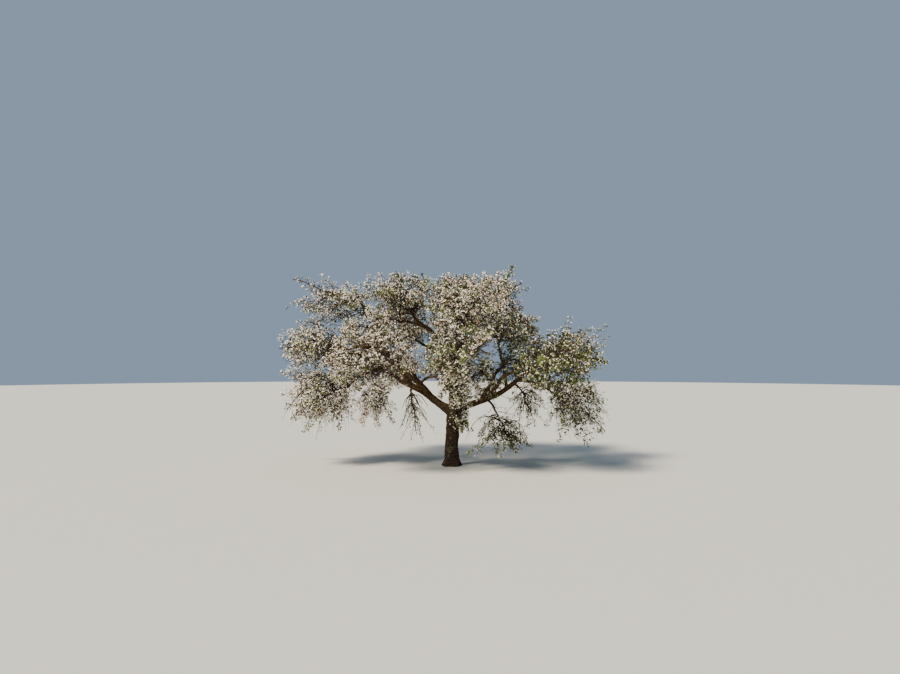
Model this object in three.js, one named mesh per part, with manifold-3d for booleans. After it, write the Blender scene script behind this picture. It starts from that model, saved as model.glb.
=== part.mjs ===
// An old standard apple tree in full blossom. A short trunk with a flared foot leans a little to
// the right and forks low into a leader and wide, nearly level boughs. Each bough ends in a mass
// of twigs that carry sprays of leaves and tufts of blossom.
// Millimetres. X runs to the right as the tree is seen from the front, Y away from the viewer and
// Z up. The origin is the middle of the flat cut at ground level.
import * as THREE from "three";
import { mergeVertices } from "three/addons/utils/BufferGeometryUtils.js";
import Module from "manifold-3d";

const wasm = await Module();
wasm.setup();

// Trunk: radii at the foot and the fork, and the radius that it closes to above its shoulder
const TRUNK = { height: 1800, lean: 50, foot: 204, fork: 184, close: 120, shoulder: 0.93 };
const TRUNK_FACETS = { sides: 15, steps: 11 };
const FLARE = { width: 115, height: 150, buttresses: 5, share: 0.13, reach: 300 };
const FOOT_CROWDING = 1.6; // the trunk's rings crowd towards its foot, where it flares

// Limbs
const SEAM = 0.3; // air between two pieces that meet
const LIMB = {
  collar: 0.3, // swelling where a limb leaves its parent, as a share of its radius
  crook: 0.03, // how far a limb strays from its sweep, as a share of its length
  sides: 6,
  thick: 60, // a limb whose foot is thicker than this has more sides
  thickSides: 8,
  step: 430, // length of one facet
  fewestSteps: 3,
  sample: 60, // distance between the points that twigs are kept clear of
  clearance: 16,
};
const STRAY = { sideways: 3, upward: 2.4, flatness: 0.6 }; // half waves each way, and their ratio
const STEEP = 0.8; // a chord that rises by more than this share of its length is steep

// Stems and twigs: crook and lift are shares of the length, and sprays stand between the two
// shares of it in sprayed
const STEM = { tip: 12, taper: 0.6, lift: 0.06, crook: 0.05, sprays: 2, sprayed: [0.5, 0.85] };
const STEM_FACETS = { sides: 4, steps: 4 };
const TWIG = { foot: 17, tip: 8, crook: 0.05, sprays: 2, sprayed: [0.45, 1] };
const TWIG_FACETS = { sides: 3, steps: 2 };
const TWIG_COUNT = { bare: 6, fewest: 2.4, fuller: 3.4 }; // on a mass with no sprays, and on others
const ARCH = { rising: { least: 0.12, range: -0.26 }, hanging: { least: 0.2, range: 0.1 } };

// A twig aims this share of the way out from the middle of its mass, pulls that in until it fits,
// and leaves the stem a little behind the place it aims at
const AIM = { reach: 0.6, range: 0.25, pulls: [1, 0.8, 0.6, 0.4], behind: 0.25, first: 0.06, last: 0.88 };

// Sprays: each stands for a whole spray of small leaves, or for a tuft of blossom, in a mass with
// this mean half size, and is larger or smaller in others
const LEAF_SPRAY = { length: 850, width: 560, thickness: 50 };
const BLOSSOM_TUFT = { length: 700, width: 540, thickness: 300 };
const SPRAY_MASS_SIZE = 900;
const SPRAY = {
  leafy: 0.45, // share of the sprays that are leaves
  smallest: 0.85,
  range: 0.3,
  roll: 1.6,
  lean: 1.2, // how far it stands out from its twig
  tipLean: 0.2,
  rise: 0.15,
  droop: -0.35,
  sunk: 0.6, // share of the twig's tip radius that its root is sunk by
  attempts: 5,
  spacing: 0.4, // least distance between middles, as a share of the length
};

// A mass may reach past the ellipsoid that its twigs aim at, but not past a wall to a neighbour
const OVERREACH = 1.35;
const WALL_CLEARANCE = 8;

const SIMPLIFY = 0.2; // joined twigs lose facets smaller than this
const WELD = 1e-3;
const UP = new THREE.Vector3(0, 0, 1);
const RIGHT = new THREE.Vector3(1, 0, 0);
const GOLDEN_TURN = Math.PI * (3 - Math.sqrt(5));

// Each limb leaves the limb that it is on at a share of that one's length, and sweeps to its end,
// lifted above the straight line by lift, from a foot radius to a tip radius. It ends in one mass,
// whose twigs fill an ellipsoid round centre with the half sizes in size. The stem of the mass
// runs to its furthest sprig, and sprays says how full it is.
const LIMBS = [
  {
    name: "leader", on: "trunk", at: 0.86,
    end: [120, 120, 3900], lift: 0, foot: 130, tip: 70,
    mass: {
      name: "top_middle", centre: [150, 250, 5000], size: [850, 950, 760],
      sprig: [380, 150, 5760], sprays: 1,
    },
  },
  {
    name: "left_bough", on: "trunk", at: 0.88,
    end: [-2150, -150, 2930], lift: 20, foot: 122, tip: 60,
    mass: {
      name: "left_centre", centre: [-2900, -450, 2950], size: [850, 850, 480],
      sprig: [-3700, -700, 2950], sprays: 0.9,
    },
  },
  {
    name: "right_bough", on: "trunk", at: 0.9,
    end: [2950, -50, 3300], lift: -210, foot: 105, tip: 45,
    mass: {
      name: "right_outer", centre: [3650, -50, 3230], size: [870, 1250, 850],
      sprig: [4660, -200, 3020], sprays: 1.1,
    },
  },
  {
    name: "left_high_bough", on: "left_bough", at: 0.58,
    end: [-3050, -350, 3480], lift: 430, foot: 86, tip: 45,
    mass: {
      name: "left_outer", centre: [-3950, -150, 3500], size: [1050, 1250, 700],
      sprig: [-5060, -450, 3480], sprays: 1.1,
    },
  },
  {
    name: "left_drop_bough", on: "left_bough", at: 0.9,
    end: [-3050, -250, 2350], lift: 210, foot: 50, tip: 32,
    mass: {
      name: "left_low", centre: [-3850, -50, 2150], size: [950, 1200, 850],
      sprig: [-4650, -400, 1500], sprays: 1.1, hang: true,
    },
  },
  {
    name: "left_inner_bough", on: "left_high_bough", at: 0.35,
    end: [-2150, -600, 3720], lift: 60, foot: 48, tip: 32,
    mass: { name: "left_inner", centre: [-2150, -800, 4000], size: [1000, 850, 620], sprays: 0.8 },
  },
  {
    name: "front_left_bough", on: "left_bough", at: 0.35,
    end: [-1600, -1450, 2950], lift: 140, foot: 72, tip: 40,
    mass: { name: "front_left", centre: [-2150, -2150, 3100], size: [1250, 1100, 850], sprays: 0.9 },
  },
  {
    name: "back_left_bough", on: "left_bough", at: 0.3,
    end: [-1600, 1450, 2950], lift: 140, foot: 74, tip: 42,
    mass: { name: "back_left", centre: [-2150, 2250, 3150], size: [1250, 1150, 950], sprays: 1 },
  },
  {
    name: "left_hanging_bough", on: "left_bough", at: 0.72,
    end: [-2000, -330, 2330], lift: 40, foot: 30, tip: 22,
    mass: {
      name: "left_hanging", centre: [-2250, -350, 1980], size: [600, 700, 520],
      sprays: 0.6, hang: true,
    },
  },
  {
    name: "knob_stub", on: "left_bough", at: 0.55,
    end: [-1200, -230, 2230], lift: 10, foot: 42, tip: 30,
    mass: { name: "knob_twigs", centre: [-1120, -300, 1650], size: [480, 450, 600], sprays: 0, hang: true },
  },
  {
    name: "arching_bough", on: "left_bough", at: 0.5,
    end: [-250, -820, 2600], lift: 190, foot: 46, tip: 32,
    mass: {
      name: "front_low", centre: [250, -1100, 2700], size: [560, 520, 620],
      sprig: [300, -1150, 2000], sprays: 0.7, hang: true,
    },
  },
  {
    name: "front_bough", on: "leader", at: 0.12,
    end: [200, -1500, 3250], lift: 60, foot: 76, tip: 42,
    mass: { name: "front_middle", centre: [400, -2400, 3400], size: [1050, 1050, 850], sprays: 1 },
  },
  {
    name: "back_bough", on: "leader", at: 0.1,
    end: [-50, 1550, 3150], lift: 60, foot: 76, tip: 42,
    mass: { name: "back_middle", centre: [0, 2550, 3350], size: [1150, 1150, 850], sprays: 1 },
  },
  {
    name: "right_low_bough", on: "right_bough", at: 0.66,
    end: [2950, -350, 2200], lift: 90, foot: 50, tip: 32,
    mass: {
      name: "right_low", centre: [3650, -200, 1980], size: [880, 1100, 860],
      sprig: [4500, -450, 1050], sprays: 1.4, hang: true,
    },
  },
  {
    name: "right_rising_bough", on: "right_bough", at: 0.55,
    end: [1400, -200, 3650], lift: 0, foot: 50, tip: 34,
    mass: { name: "right_middle", centre: [1700, -400, 4000], size: [850, 850, 560], sprays: 0.9 },
  },
  {
    name: "right_drop_bough", on: "right_bough", at: 0.34,
    end: [1420, -450, 1380], lift: 100, foot: 38, tip: 26,
    mass: {
      name: "right_hanging", centre: [1400, -700, 1120], size: [850, 600, 450],
      sprig: [1750, -800, 620], sprays: 0.8, hang: true,
    },
  },
  {
    name: "right_inner_bough", on: "leader", at: 0.22,
    end: [560, -330, 2620], lift: 20, foot: 40, tip: 26,
    mass: { name: "right_inner", centre: [1000, -450, 2750], size: [600, 600, 380], sprays: 0.45 },
  },
  {
    name: "right_stub", on: "right_bough", at: 0.62,
    end: [2050, -220, 2270], lift: 20, foot: 34, tip: 24,
    mass: {
      name: "right_twigs", centre: [2200, -300, 1900], size: [560, 480, 420],
      sprays: 0.1, hang: true,
    },
  },
  {
    name: "front_right_bough", on: "right_bough", at: 0.32,
    end: [1850, -1400, 2900], lift: 100, foot: 70, tip: 40,
    mass: { name: "front_right", centre: [2750, -2100, 3050], size: [1100, 1100, 800], sprays: 0.9 },
  },
  {
    name: "back_right_bough", on: "right_bough", at: 0.3,
    end: [1600, 1450, 2900], lift: 100, foot: 74, tip: 42,
    mass: { name: "back_right", centre: [2450, 2250, 3150], size: [1200, 1150, 900], sprays: 1 },
  },
  {
    name: "top_left_bough", on: "leader", at: 0.72,
    end: [-1100, -150, 4400], lift: 60, foot: 62, tip: 38,
    mass: {
      name: "top_left", centre: [-1350, -250, 5050], size: [980, 1000, 730],
      sprig: [-1650, -300, 5780], sprays: 1.1,
    },
  },
  {
    name: "top_far_left_bough", on: "top_left_bough", at: 0.6,
    end: [-2250, -100, 4450], lift: 80, foot: 44, tip: 30,
    mass: {
      name: "left_upper", centre: [-3350, 0, 4700], size: [1300, 1200, 700],
      sprig: [-4720, -250, 5540], sprays: 1.1,
    },
  },
  {
    name: "top_right_bough", on: "leader", at: 0.78,
    end: [1050, -100, 4450], lift: 60, foot: 58, tip: 36,
    mass: {
      name: "top_right", centre: [1250, -200, 5000], size: [850, 1000, 750],
      sprig: [1870, -200, 5940], sprays: 1.1,
    },
  },
  {
    name: "top_front_bough", on: "leader", at: 0.62,
    end: [300, -1050, 4000], lift: 60, foot: 56, tip: 36,
    mass: { name: "top_front", centre: [500, -1650, 4500], size: [1000, 900, 800], sprays: 1 },
  },
  {
    name: "top_back_bough", on: "leader", at: 0.68,
    end: [100, 1150, 4100], lift: 60, foot: 58, tip: 36,
    mass: { name: "top_back", centre: [150, 1800, 4650], size: [1150, 950, 800], sprays: 1 },
  },
  {
    name: "back_left_high_bough", on: "leader", at: 0.55,
    end: [-1350, 950, 3900], lift: 120, foot: 54, tip: 34,
    mass: { name: "back_left_high", centre: [-1500, 1450, 4400], size: [1000, 1000, 750], sprays: 1 },
  },
  {
    name: "back_right_high_bough", on: "leader", at: 0.5,
    end: [1250, 950, 3800], lift: 120, foot: 54, tip: 34,
    mass: { name: "back_right_high", centre: [1650, 1450, 4300], size: [900, 1000, 720], sprays: 1 },
  },
];

// A small mass on the side of the trunk, just under the fork
const FORK_TUFT = {
  name: "fork_tuft", at: 0.85, foot: 26, centre: [260, -420, 1620], size: [270, 260, 380],
  sprig: [330, -520, 1330], sprays: 0.6, hang: true,
};

const BARK = { color: 0x41352c, roughness: 0.93, metalness: 0 };
const BLOSSOM = { color: 0xe4dccb, roughness: 0.8, metalness: 0 };

// One stream of numbers from 0 to 1: the same seed always grows the same limb
const STREAM = { modulus: 2147483647, multiplier: 16807, seedStep: 48271, start: 12345 };
function seeded(seed) {
  let state = (seed * STREAM.seedStep + STREAM.start) % STREAM.modulus;
  return () => {
    state = (state * STREAM.multiplier) % STREAM.modulus;
    return state / STREAM.modulus;
  };
}

function vector(values) {
  return new THREE.Vector3(...values);
}

// The sweep of a limb or twig: a lifted arch between two points that strays from it a little
class Sweep extends THREE.Curve {
  constructor(foot, end, lift, crook, seed) {
    super();
    const random = seeded(seed);
    this.foot = foot;
    this.end = end;
    this.lift = lift;
    this.chord = end.clone().sub(foot);
    this.size = this.chord.length();
    this.crook = crook * this.size;
    this.phase = [random() * 2 * Math.PI, random() * 2 * Math.PI];
    this.reference = Math.abs(this.chord.z) > STEEP * this.size ? RIGHT : UP;
    this.side = this.chord.clone().cross(this.reference).normalize();
    this.rise = this.side.clone().cross(this.chord).normalize();
  }

  getPoint(t, target = new THREE.Vector3()) {
    const stray = Math.sin(Math.PI * t) * this.crook;
    const sideways = stray * Math.sin(STRAY.sideways * Math.PI * t + this.phase[0]);
    const upward = STRAY.flatness * stray * Math.sin(STRAY.upward * Math.PI * t + this.phase[1]);
    target.lerpVectors(this.foot, this.end, t);
    target.addScaledVector(UP, this.lift * 4 * t * (1 - t));
    return target.addScaledVector(this.side, sideways).addScaledVector(this.rise, upward);
  }
}

// A closed round limb: the rings of a cylinder are carried on to the sweep, each with the limb's
// radius at that share of the length and turn round it. The first ring can be turned to lie flat
// on the tip that the limb goes on from, and rings can crowd towards the foot. An extra makes the
// limb that much larger all round, to cut other pieces clear of it.
function limbGeometry({ sweep, radiusAt, sides, steps, firstTangent = null, crowding = 1 }, extra = 0) {
  const tube = new THREE.CylinderGeometry(1, 1, 1, sides, steps);
  const places = tube.getAttribute("position");
  const tangent = new THREE.Vector3();
  const side = new THREE.Vector3();
  const rise = new THREE.Vector3();
  const point = new THREE.Vector3();
  for (let i = 0; i < places.count; i++) {
    const x = places.getX(i);
    const z = places.getZ(i);
    const ring = Math.round((places.getY(i) + 0.5) * steps);
    const t = (ring / steps) ** crowding;
    sweep.getTangent(t, tangent);
    if (ring === 0 && firstTangent) tangent.copy(firstTangent);
    side.crossVectors(tangent, sweep.reference).normalize();
    rise.crossVectors(side, tangent);
    const radius = radiusAt(t, Math.atan2(z, x)) + extra;
    sweep.getPoint(t, point);
    if (ring === 0) point.addScaledVector(tangent, -extra);
    if (ring === steps) point.addScaledVector(tangent, extra);
    point.addScaledVector(side, x * radius).addScaledVector(rise, z * radius);
    places.setXYZ(i, point.x, point.y, point.z);
  }
  return tube;
}

// A solid of manifold-3d from a closed three.js geometry
function solidOf(geometry) {
  const bare = geometry.clone();
  bare.deleteAttribute("normal");
  bare.deleteAttribute("uv");
  const merged = mergeVertices(bare, WELD);
  return new wasm.Manifold(
    new wasm.Mesh({
      numProp: 3,
      vertProperties: new Float32Array(merged.getAttribute("position").array),
      triVerts: new Uint32Array(merged.getIndex().array),
    }),
  );
}

// The largest body of a solid: loose scraps are dropped and sealed hollows are filled
function mainBody(solid) {
  const bodies = solid.decompose();
  return bodies.reduce((best, body) => (body.volume() > best.volume() ? body : best));
}

function meshOf(solid, name, look) {
  const { vertProperties, triVerts } = solid.getMesh();
  const geometry = new THREE.BufferGeometry();
  geometry.setAttribute("position", new THREE.BufferAttribute(vertProperties, 3));
  geometry.setIndex(new THREE.BufferAttribute(triVerts, 1));
  geometry.computeVertexNormals();
  const mesh = new THREE.Mesh(geometry, new THREE.MeshStandardMaterial(look));
  mesh.name = name;
  return mesh;
}

// The trunk tapers from its flared, buttressed foot to the fork and closes just above it
function trunkRadius(t, turn) {
  const z = t * TRUNK.height;
  const shaft = THREE.MathUtils.lerp(TRUNK.foot, TRUNK.fork, t);
  const flare = FLARE.width * Math.exp(-z / FLARE.height);
  const fluting = 1 + FLARE.share * Math.exp(-z / FLARE.reach) * Math.cos(FLARE.buttresses * turn);
  const closing = Math.max(0, (t - TRUNK.shoulder) / (1 - TRUNK.shoulder));
  return THREE.MathUtils.lerp((shaft + flare) * fluting, TRUNK.close, closing);
}

// A limb swells at its collar, where it comes out of its parent, and then tapers evenly
function limbRadius(limb, t) {
  const out = Math.max(0, t * limb.sweep.size - limb.parentRadius);
  const collar = LIMB.collar * limb.foot * Math.exp(-out / limb.foot);
  return THREE.MathUtils.lerp(limb.foot, limb.tip, t) + collar;
}

function growTrunk() {
  const top = new THREE.Vector3(TRUNK.lean, 0, TRUNK.height);
  const sweep = new Sweep(new THREE.Vector3(), top, 0, 0, 0);
  const rings = { firstTangent: UP, crowding: FOOT_CROWDING };
  return { name: "trunk", sweep, radiusAt: trunkRadius, ...TRUNK_FACETS, ...rings };
}

// Places a limb on its parent and works out its sweep, radius and facets
function growLimb(row, parent, seed) {
  const foot = parent.sweep.getPoint(row.at);
  const sweep = new Sweep(foot, vector(row.end), row.lift, LIMB.crook, seed);
  const limb = { ...row, sweep, parentRadius: parent.radiusAt(row.at, 0) };
  limb.radiusAt = (t) => limbRadius(limb, t);
  limb.sides = row.foot > LIMB.thick ? LIMB.thickSides : LIMB.sides;
  limb.steps = Math.max(LIMB.fewestSteps, Math.round(sweep.size / LIMB.step));
  return limb;
}

// Points down the middle of a limb, with the radius there, for keeping twigs clear of it
function limbSamples(limb) {
  const count = Math.ceil(limb.sweep.size / LIMB.sample);
  return Array.from({ length: count + 1 }, (_, i) => ({
    point: limb.sweep.getPoint(i / count),
    radius: limb.radiusAt(i / count, 0),
  }));
}

// Where two ellipsoids meet, a wall across the line between their centres shares out the space
function shareSpace(masses) {
  for (const mass of masses) {
    mass.walls = [];
    for (const other of masses) {
      if (other === mass) continue;
      const line = other.centre.clone().sub(mass.centre);
      const gap = line.length();
      const way = line.divideScalar(gap);
      const own = 1 / way.clone().divide(mass.size).length();
      const theirs = 1 / way.clone().divide(other.size).length();
      if (OVERREACH * (own + theirs) < gap) continue;
      const point = mass.centre.clone().addScaledVector(way, (gap * own) / (own + theirs));
      mass.walls.push(new THREE.Plane().setFromNormalAndCoplanarPoint(way, point));
    }
  }
}

function inSpace(mass, point) {
  const offset = point.clone().sub(mass.centre).divide(mass.size);
  if (offset.length() > OVERREACH) return false;
  return mass.walls.every((wall) => wall.distanceToPoint(point) < -WALL_CLEARANCE);
}

function clearOfLimbs(point, samples, around) {
  return samples.every((s) => s.point.distanceTo(point) > s.radius + around + LIMB.clearance);
}

// Where twig number i of count aims: a golden spiral spreads the places evenly over the ellipsoid
function twigAim(mass, i, count, reach) {
  const z = 1 - (2 * i + 1) / count;
  const turn = i * GOLDEN_TURN + mass.seed;
  const flat = Math.sqrt(1 - z * z);
  const aim = new THREE.Vector3(flat * Math.cos(turn), flat * Math.sin(turn), z);
  return aim.multiply(mass.size).multiplyScalar(reach).add(mass.centre);
}

// A spray or tuft: an octahedron drawn out from its root, which is sunk in the twig
function sprayGeometry({ middle, along, across, length, width, thickness }) {
  const grain = new THREE.Matrix4().makeBasis(
    along.clone().multiplyScalar(length / 2),
    across.clone().multiplyScalar(width / 2),
    along.clone().cross(across).multiplyScalar(thickness / 2),
  );
  return new THREE.OctahedronGeometry(1).applyMatrix4(grain.setPosition(middle));
}

// Points over a spray's blade have to be in its mass's space and clear of every limb, and its
// middle has to stand apart from those that have grown
function sprayFits(mass, samples, middles, spray) {
  const { root, along, across, length, width, thickness } = spray;
  for (const share of [0.2, 0.4, 0.6, 0.8, 1]) {
    const half = 0.5 - Math.abs(share - 0.5);
    for (const edge of [-1, 0, 1]) {
      const point = root.clone().addScaledVector(along, share * length);
      point.addScaledVector(across, edge * half * width);
      if (!inSpace(mass, point) || !clearOfLimbs(point, samples, half * thickness)) return false;
    }
  }
  return middles.every((middle) => middle.distanceTo(spray.middle) > SPRAY.spacing * length);
}

// One spray on a twig, turned to stand out from it and to hang or rise with its mass
function placeSpray(mass, sweep, t, turn, lean, { roll, shape, scale }) {
  const out = sweep.side.clone().multiplyScalar(Math.cos(turn));
  out.addScaledVector(sweep.rise, Math.sin(turn));
  const along = sweep.getTangent(t).addScaledVector(out, lean);
  along.addScaledVector(UP, mass.hang ? SPRAY.droop : SPRAY.rise).normalize();
  const across = along.clone().cross(Math.abs(along.z) > STEEP ? RIGHT : UP).normalize();
  across.applyAxisAngle(along, roll);
  const root = sweep.getPoint(t).addScaledVector(along, -SPRAY.sunk * TWIG.tip);
  const length = shape.length * scale;
  const width = shape.width * scale;
  const thickness = shape.thickness * scale;
  const middle = root.clone().addScaledVector(along, length / 2);
  return { root, middle, along, across, length, width, thickness };
}

// Sprays stand round a twig by the golden angle, and the last one carries on from its tip. One
// that doesn't fit is tried on the twig's other sides, and is then left out.
function addSprays(mass, samples, grown, sweep, count, [fromShare, lastShare], random) {
  for (let j = 0; j < count; j++) {
    const last = j === count - 1;
    const t = last ? lastShare : fromShare + ((lastShare - fromShare) * j) / (count - 1);
    const kind = {
      shape: random() < SPRAY.leafy ? LEAF_SPRAY : BLOSSOM_TUFT,
      scale: mass.scale * (SPRAY.smallest + SPRAY.range * random()),
      roll: (random() - 0.5) * SPRAY.roll,
    };
    const firstTurn = 2 * Math.PI * random();
    for (let attempt = 0; attempt < SPRAY.attempts; attempt++) {
      const lean = last && attempt === 0 ? SPRAY.tipLean : SPRAY.lean;
      const spray = placeSpray(mass, sweep, t, firstTurn + attempt * GOLDEN_TURN, lean, kind);
      if (!sprayFits(mass, samples, grown.middles, spray)) continue;
      grown.middles.push(spray.middle);
      grown.solids.push(solidOf(sprayGeometry(spray)));
      break;
    }
  }
}

// Whether a twig stays in its mass's space and clear of the limbs, past where it leaves the stem
function twigFits(mass, samples, sweep) {
  const tests = 10;
  for (let i = 1; i <= tests; i++) {
    const point = sweep.getPoint(i / tests);
    if (!inSpace(mass, point) || !clearOfLimbs(point, samples, TWIG.foot)) return false;
  }
  return true;
}

// A twig leaves the stem short of the place it aims at, and pulls in its reach until it fits
function growTwig(mass, samples, stem, i, count, random) {
  const reach = AIM.reach + AIM.range * random();
  const { least, range } = mass.hang ? ARCH.hanging : ARCH.rising;
  const liftShare = least + range * random();
  for (const pull of AIM.pulls) {
    const aim = twigAim(mass, i, count, reach * pull);
    const along = aim.clone().sub(stem.foot).dot(stem.chord) / stem.size ** 2;
    const foot = stem.getPoint(THREE.MathUtils.clamp(along - AIM.behind, AIM.first, AIM.last));
    const lift = liftShare * aim.distanceTo(foot);
    const sweep = new Sweep(foot, aim, lift, TWIG.crook, mass.seed * 100 + i);
    if (twigFits(mass, samples, sweep)) return sweep;
  }
  return null;
}

// A whole mass: one stem, twigs that branch from it and the sprays that they carry
function growMass(mass, samples) {
  const random = seeded(mass.seed);
  const lift = STEM.lift * mass.start.distanceTo(mass.sprig);
  const stem = new Sweep(mass.start, mass.sprig, lift, STEM.crook, mass.seed);
  const stemRadius = (t) => THREE.MathUtils.lerp(mass.stemFoot, STEM.tip, t ** STEM.taper);
  const stemRings = { ...STEM_FACETS, firstTangent: mass.startTangent };
  const stemSolid = solidOf(limbGeometry({ sweep: stem, radiusAt: stemRadius, ...stemRings }));
  const grown = { solids: [stemSolid], middles: [] };
  addSprays(mass, samples, grown, stem, mass.sprays ? STEM.sprays : 0, STEM.sprayed, random);
  const fullness = TWIG_COUNT.fewest + TWIG_COUNT.fuller * mass.sprays;
  const twigCount = mass.sprays ? Math.round(fullness) : TWIG_COUNT.bare;
  for (let i = 0; i < twigCount; i++) {
    const sweep = growTwig(mass, samples, stem, i, twigCount, random);
    if (!sweep) continue;
    const radiusAt = (t) => THREE.MathUtils.lerp(TWIG.foot, TWIG.tip, t);
    grown.solids.push(solidOf(limbGeometry({ sweep, radiusAt, ...TWIG_FACETS })));
    addSprays(mass, samples, grown, sweep, mass.sprays ? TWIG.sprays : 0, TWIG.sprayed, random);
  }
  return mainBody(wasm.Manifold.union(grown.solids).simplify(SIMPLIFY));
}

// The far side of the ellipsoid, seen from where the stem starts, is the default furthest sprig
function farSide(mass) {
  const way = mass.centre.clone().sub(mass.start);
  const shrink = way.clone().divide(mass.size).length();
  return mass.centre.clone().addScaledVector(way, 1 / shrink);
}

function placeMass(row, start, startTangent, stemFoot, seed) {
  const [centre, size] = [vector(row.centre), vector(row.size)];
  const scale = Math.cbrt(size.x * size.y * size.z) / SPRAY_MASS_SIZE;
  const mass = { ...row, seed, centre, size, scale, start, startTangent, stemFoot };
  mass.sprig = row.sprig ? vector(row.sprig) : farSide(mass);
  return mass;
}

// A limb's mass goes on from its tip, a seam away
function massOnTip(limb, seed) {
  const tangent = limb.sweep.getTangent(1);
  const start = limb.sweep.getPoint(1).addScaledVector(tangent, SEAM);
  return placeMass(limb.mass, start, tangent, limb.tip, seed);
}

// The tuft at the fork comes out of the side of the trunk
function massOnTrunk(row, trunk, seed) {
  const start = trunk.sweep.getPoint(row.at);
  const away = vector(row.centre).sub(start).normalize();
  return placeMass(row, start, away, row.foot, seed);
}

const tree = new THREE.Group();
const limbs = new Map([["trunk", growTrunk()]]);
LIMBS.forEach((row, i) => limbs.set(row.name, growLimb(row, limbs.get(row.on), i + 1)));

// Each limb is cut back by the limbs before it, so that its foot is seated on its parent
const enlarged = [];
for (const limb of limbs.values()) {
  const solid = enlarged.reduce((left, earlier) => left.subtract(earlier), solidOf(limbGeometry(limb)));
  tree.add(meshOf(mainBody(solid), limb.name, BARK));
  enlarged.push(solidOf(limbGeometry(limb, SEAM)));
}

const masses = LIMBS.map((row, i) => massOnTip(limbs.get(row.name), i + 1));
masses.push(massOnTrunk(FORK_TUFT, limbs.get("trunk"), masses.length + 1));
shareSpace(masses);
const samples = [...limbs.values()].flatMap(limbSamples);
for (const mass of masses) {
  const solid = growMass(mass, samples).subtract(enlarged[0]);
  tree.add(meshOf(mainBody(solid), mass.name, BLOSSOM));
}

export default tree;
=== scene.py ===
"""An old standard apple tree in full blossom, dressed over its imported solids.

Metres. X runs to the right as the tree is seen from the front, Y away from the viewer and Z up.
The origin is the middle of the flat cut at ground level.
"""
import itertools
import math
from operator import attrgetter

import bpy
import numpy as np
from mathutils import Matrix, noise


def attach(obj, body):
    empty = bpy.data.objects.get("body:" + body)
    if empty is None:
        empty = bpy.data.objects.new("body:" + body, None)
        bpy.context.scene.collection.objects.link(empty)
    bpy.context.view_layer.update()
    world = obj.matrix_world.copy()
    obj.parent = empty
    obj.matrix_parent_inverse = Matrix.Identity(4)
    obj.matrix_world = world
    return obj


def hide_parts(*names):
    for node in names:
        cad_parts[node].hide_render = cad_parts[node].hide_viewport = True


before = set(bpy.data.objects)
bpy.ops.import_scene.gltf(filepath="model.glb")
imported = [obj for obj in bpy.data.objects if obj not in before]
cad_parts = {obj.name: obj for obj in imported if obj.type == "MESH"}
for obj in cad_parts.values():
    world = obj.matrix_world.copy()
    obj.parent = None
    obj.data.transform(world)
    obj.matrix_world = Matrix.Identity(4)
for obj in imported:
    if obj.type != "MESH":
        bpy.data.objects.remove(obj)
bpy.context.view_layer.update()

# Studio
# The tree stands on a plain pale floor. One broad soft light comes from the front left, as on the
# real tree, and an even pale sky fills the shade.
CAMERA_PLACE = (-0.04, -21, 3.1)
CAMERA_TILT = math.radians(2)
CAMERA_LENS = 28
FLOOR_RADIUS = 90
SUN_TURN = (math.radians(44), 0, math.radians(-48))
SUN_SPREAD = math.radians(14)
SUN_STRENGTH = 5.3
SKY_STRENGTH = 0.6


def linear(hex_colour):
    """A linear colour with alpha from an sRGB hex value such as c8b8a0."""
    parts = [int(hex_colour[i : i + 2], 16) / 255 for i in (0, 2, 4)]
    return [c / 12.92 if c <= 0.04045 else ((c + 0.055) / 1.055) ** 2.4 for c in parts] + [1]


def plain_material(name, hex_colour, roughness):
    """A material of one colour all over."""
    made = bpy.data.materials.new(name)
    made.use_nodes = True
    shader = made.node_tree.nodes["Principled BSDF"]
    shader.inputs["Base Color"].default_value = linear(hex_colour)
    shader.inputs["Roughness"].default_value = roughness
    return made


bpy.ops.object.select_all(action="DESELECT")
bpy.ops.object.camera_add(location=CAMERA_PLACE, rotation=(math.pi / 2 + CAMERA_TILT, 0, 0))
camera = bpy.context.active_object
camera.data.lens = CAMERA_LENS
camera.data.clip_end = 2 * FLOOR_RADIUS
bpy.context.scene.camera = camera
bpy.context.scene.view_settings.look = "AgX - Medium High Contrast"

# Matt floor paint: an even pale grey that takes the tree's shadow
bpy.ops.mesh.primitive_circle_add(vertices=96, radius=FLOOR_RADIUS, fill_type="NGON")
floor = bpy.context.active_object
floor.name = "floor"
floor.data.materials.append(plain_material("matt_floor_paint", "c9c9c4", 0.9))

bpy.ops.object.light_add(type="SUN", rotation=SUN_TURN)
sun = bpy.context.active_object
sun.data.energy = SUN_STRENGTH
sun.data.angle = SUN_SPREAD
sun.data.color = linear("fff1de")[:3]

sky = bpy.data.worlds.new("pale_sky")
sky.use_nodes = True
background = sky.node_tree.nodes["Background"]
background.inputs["Color"].default_value = linear("a8bcd0")
background.inputs["Strength"].default_value = SKY_STRENGTH
bpy.context.scene.world = sky

# Trunk and boughs
# Living apple wood: a short trunk that flares at its foot, a leader and wide limbs, each a tapering
# arch that swells where it leaves its parent. All are grown by one rule, drawn ring by ring and
# fused, so that the bark runs over every fork.
TRUNK = {"height": 1.8, "lean": 0.05, "foot": 0.204, "fork": 0.184, "close": 0.12, "shoulder": 0.93}
BELOW_GROUND = 0.06  # the trunk is drawn past the ground and cut off there
FLARE = {"width": 0.115, "height": 0.15, "buttresses": 5, "share": 0.13, "reach": 0.3}
COLLAR = 0.3  # how much a limb swells at its foot, as a share of its radius there
LIMB_CROOK = 0.03
STRAY = {"sideways": 3, "upward": 2.4, "flatness": 0.6}
STEEP = 0.8  # a way whose rise is more than this is measured from the right, not from upright
UP = np.array((0, 0, 1.0))
RIGHT = np.array((1.0, 0, 0))
MAIN_LIMBS = ("trunk", "leader", "left_bough", "right_bough")

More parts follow.
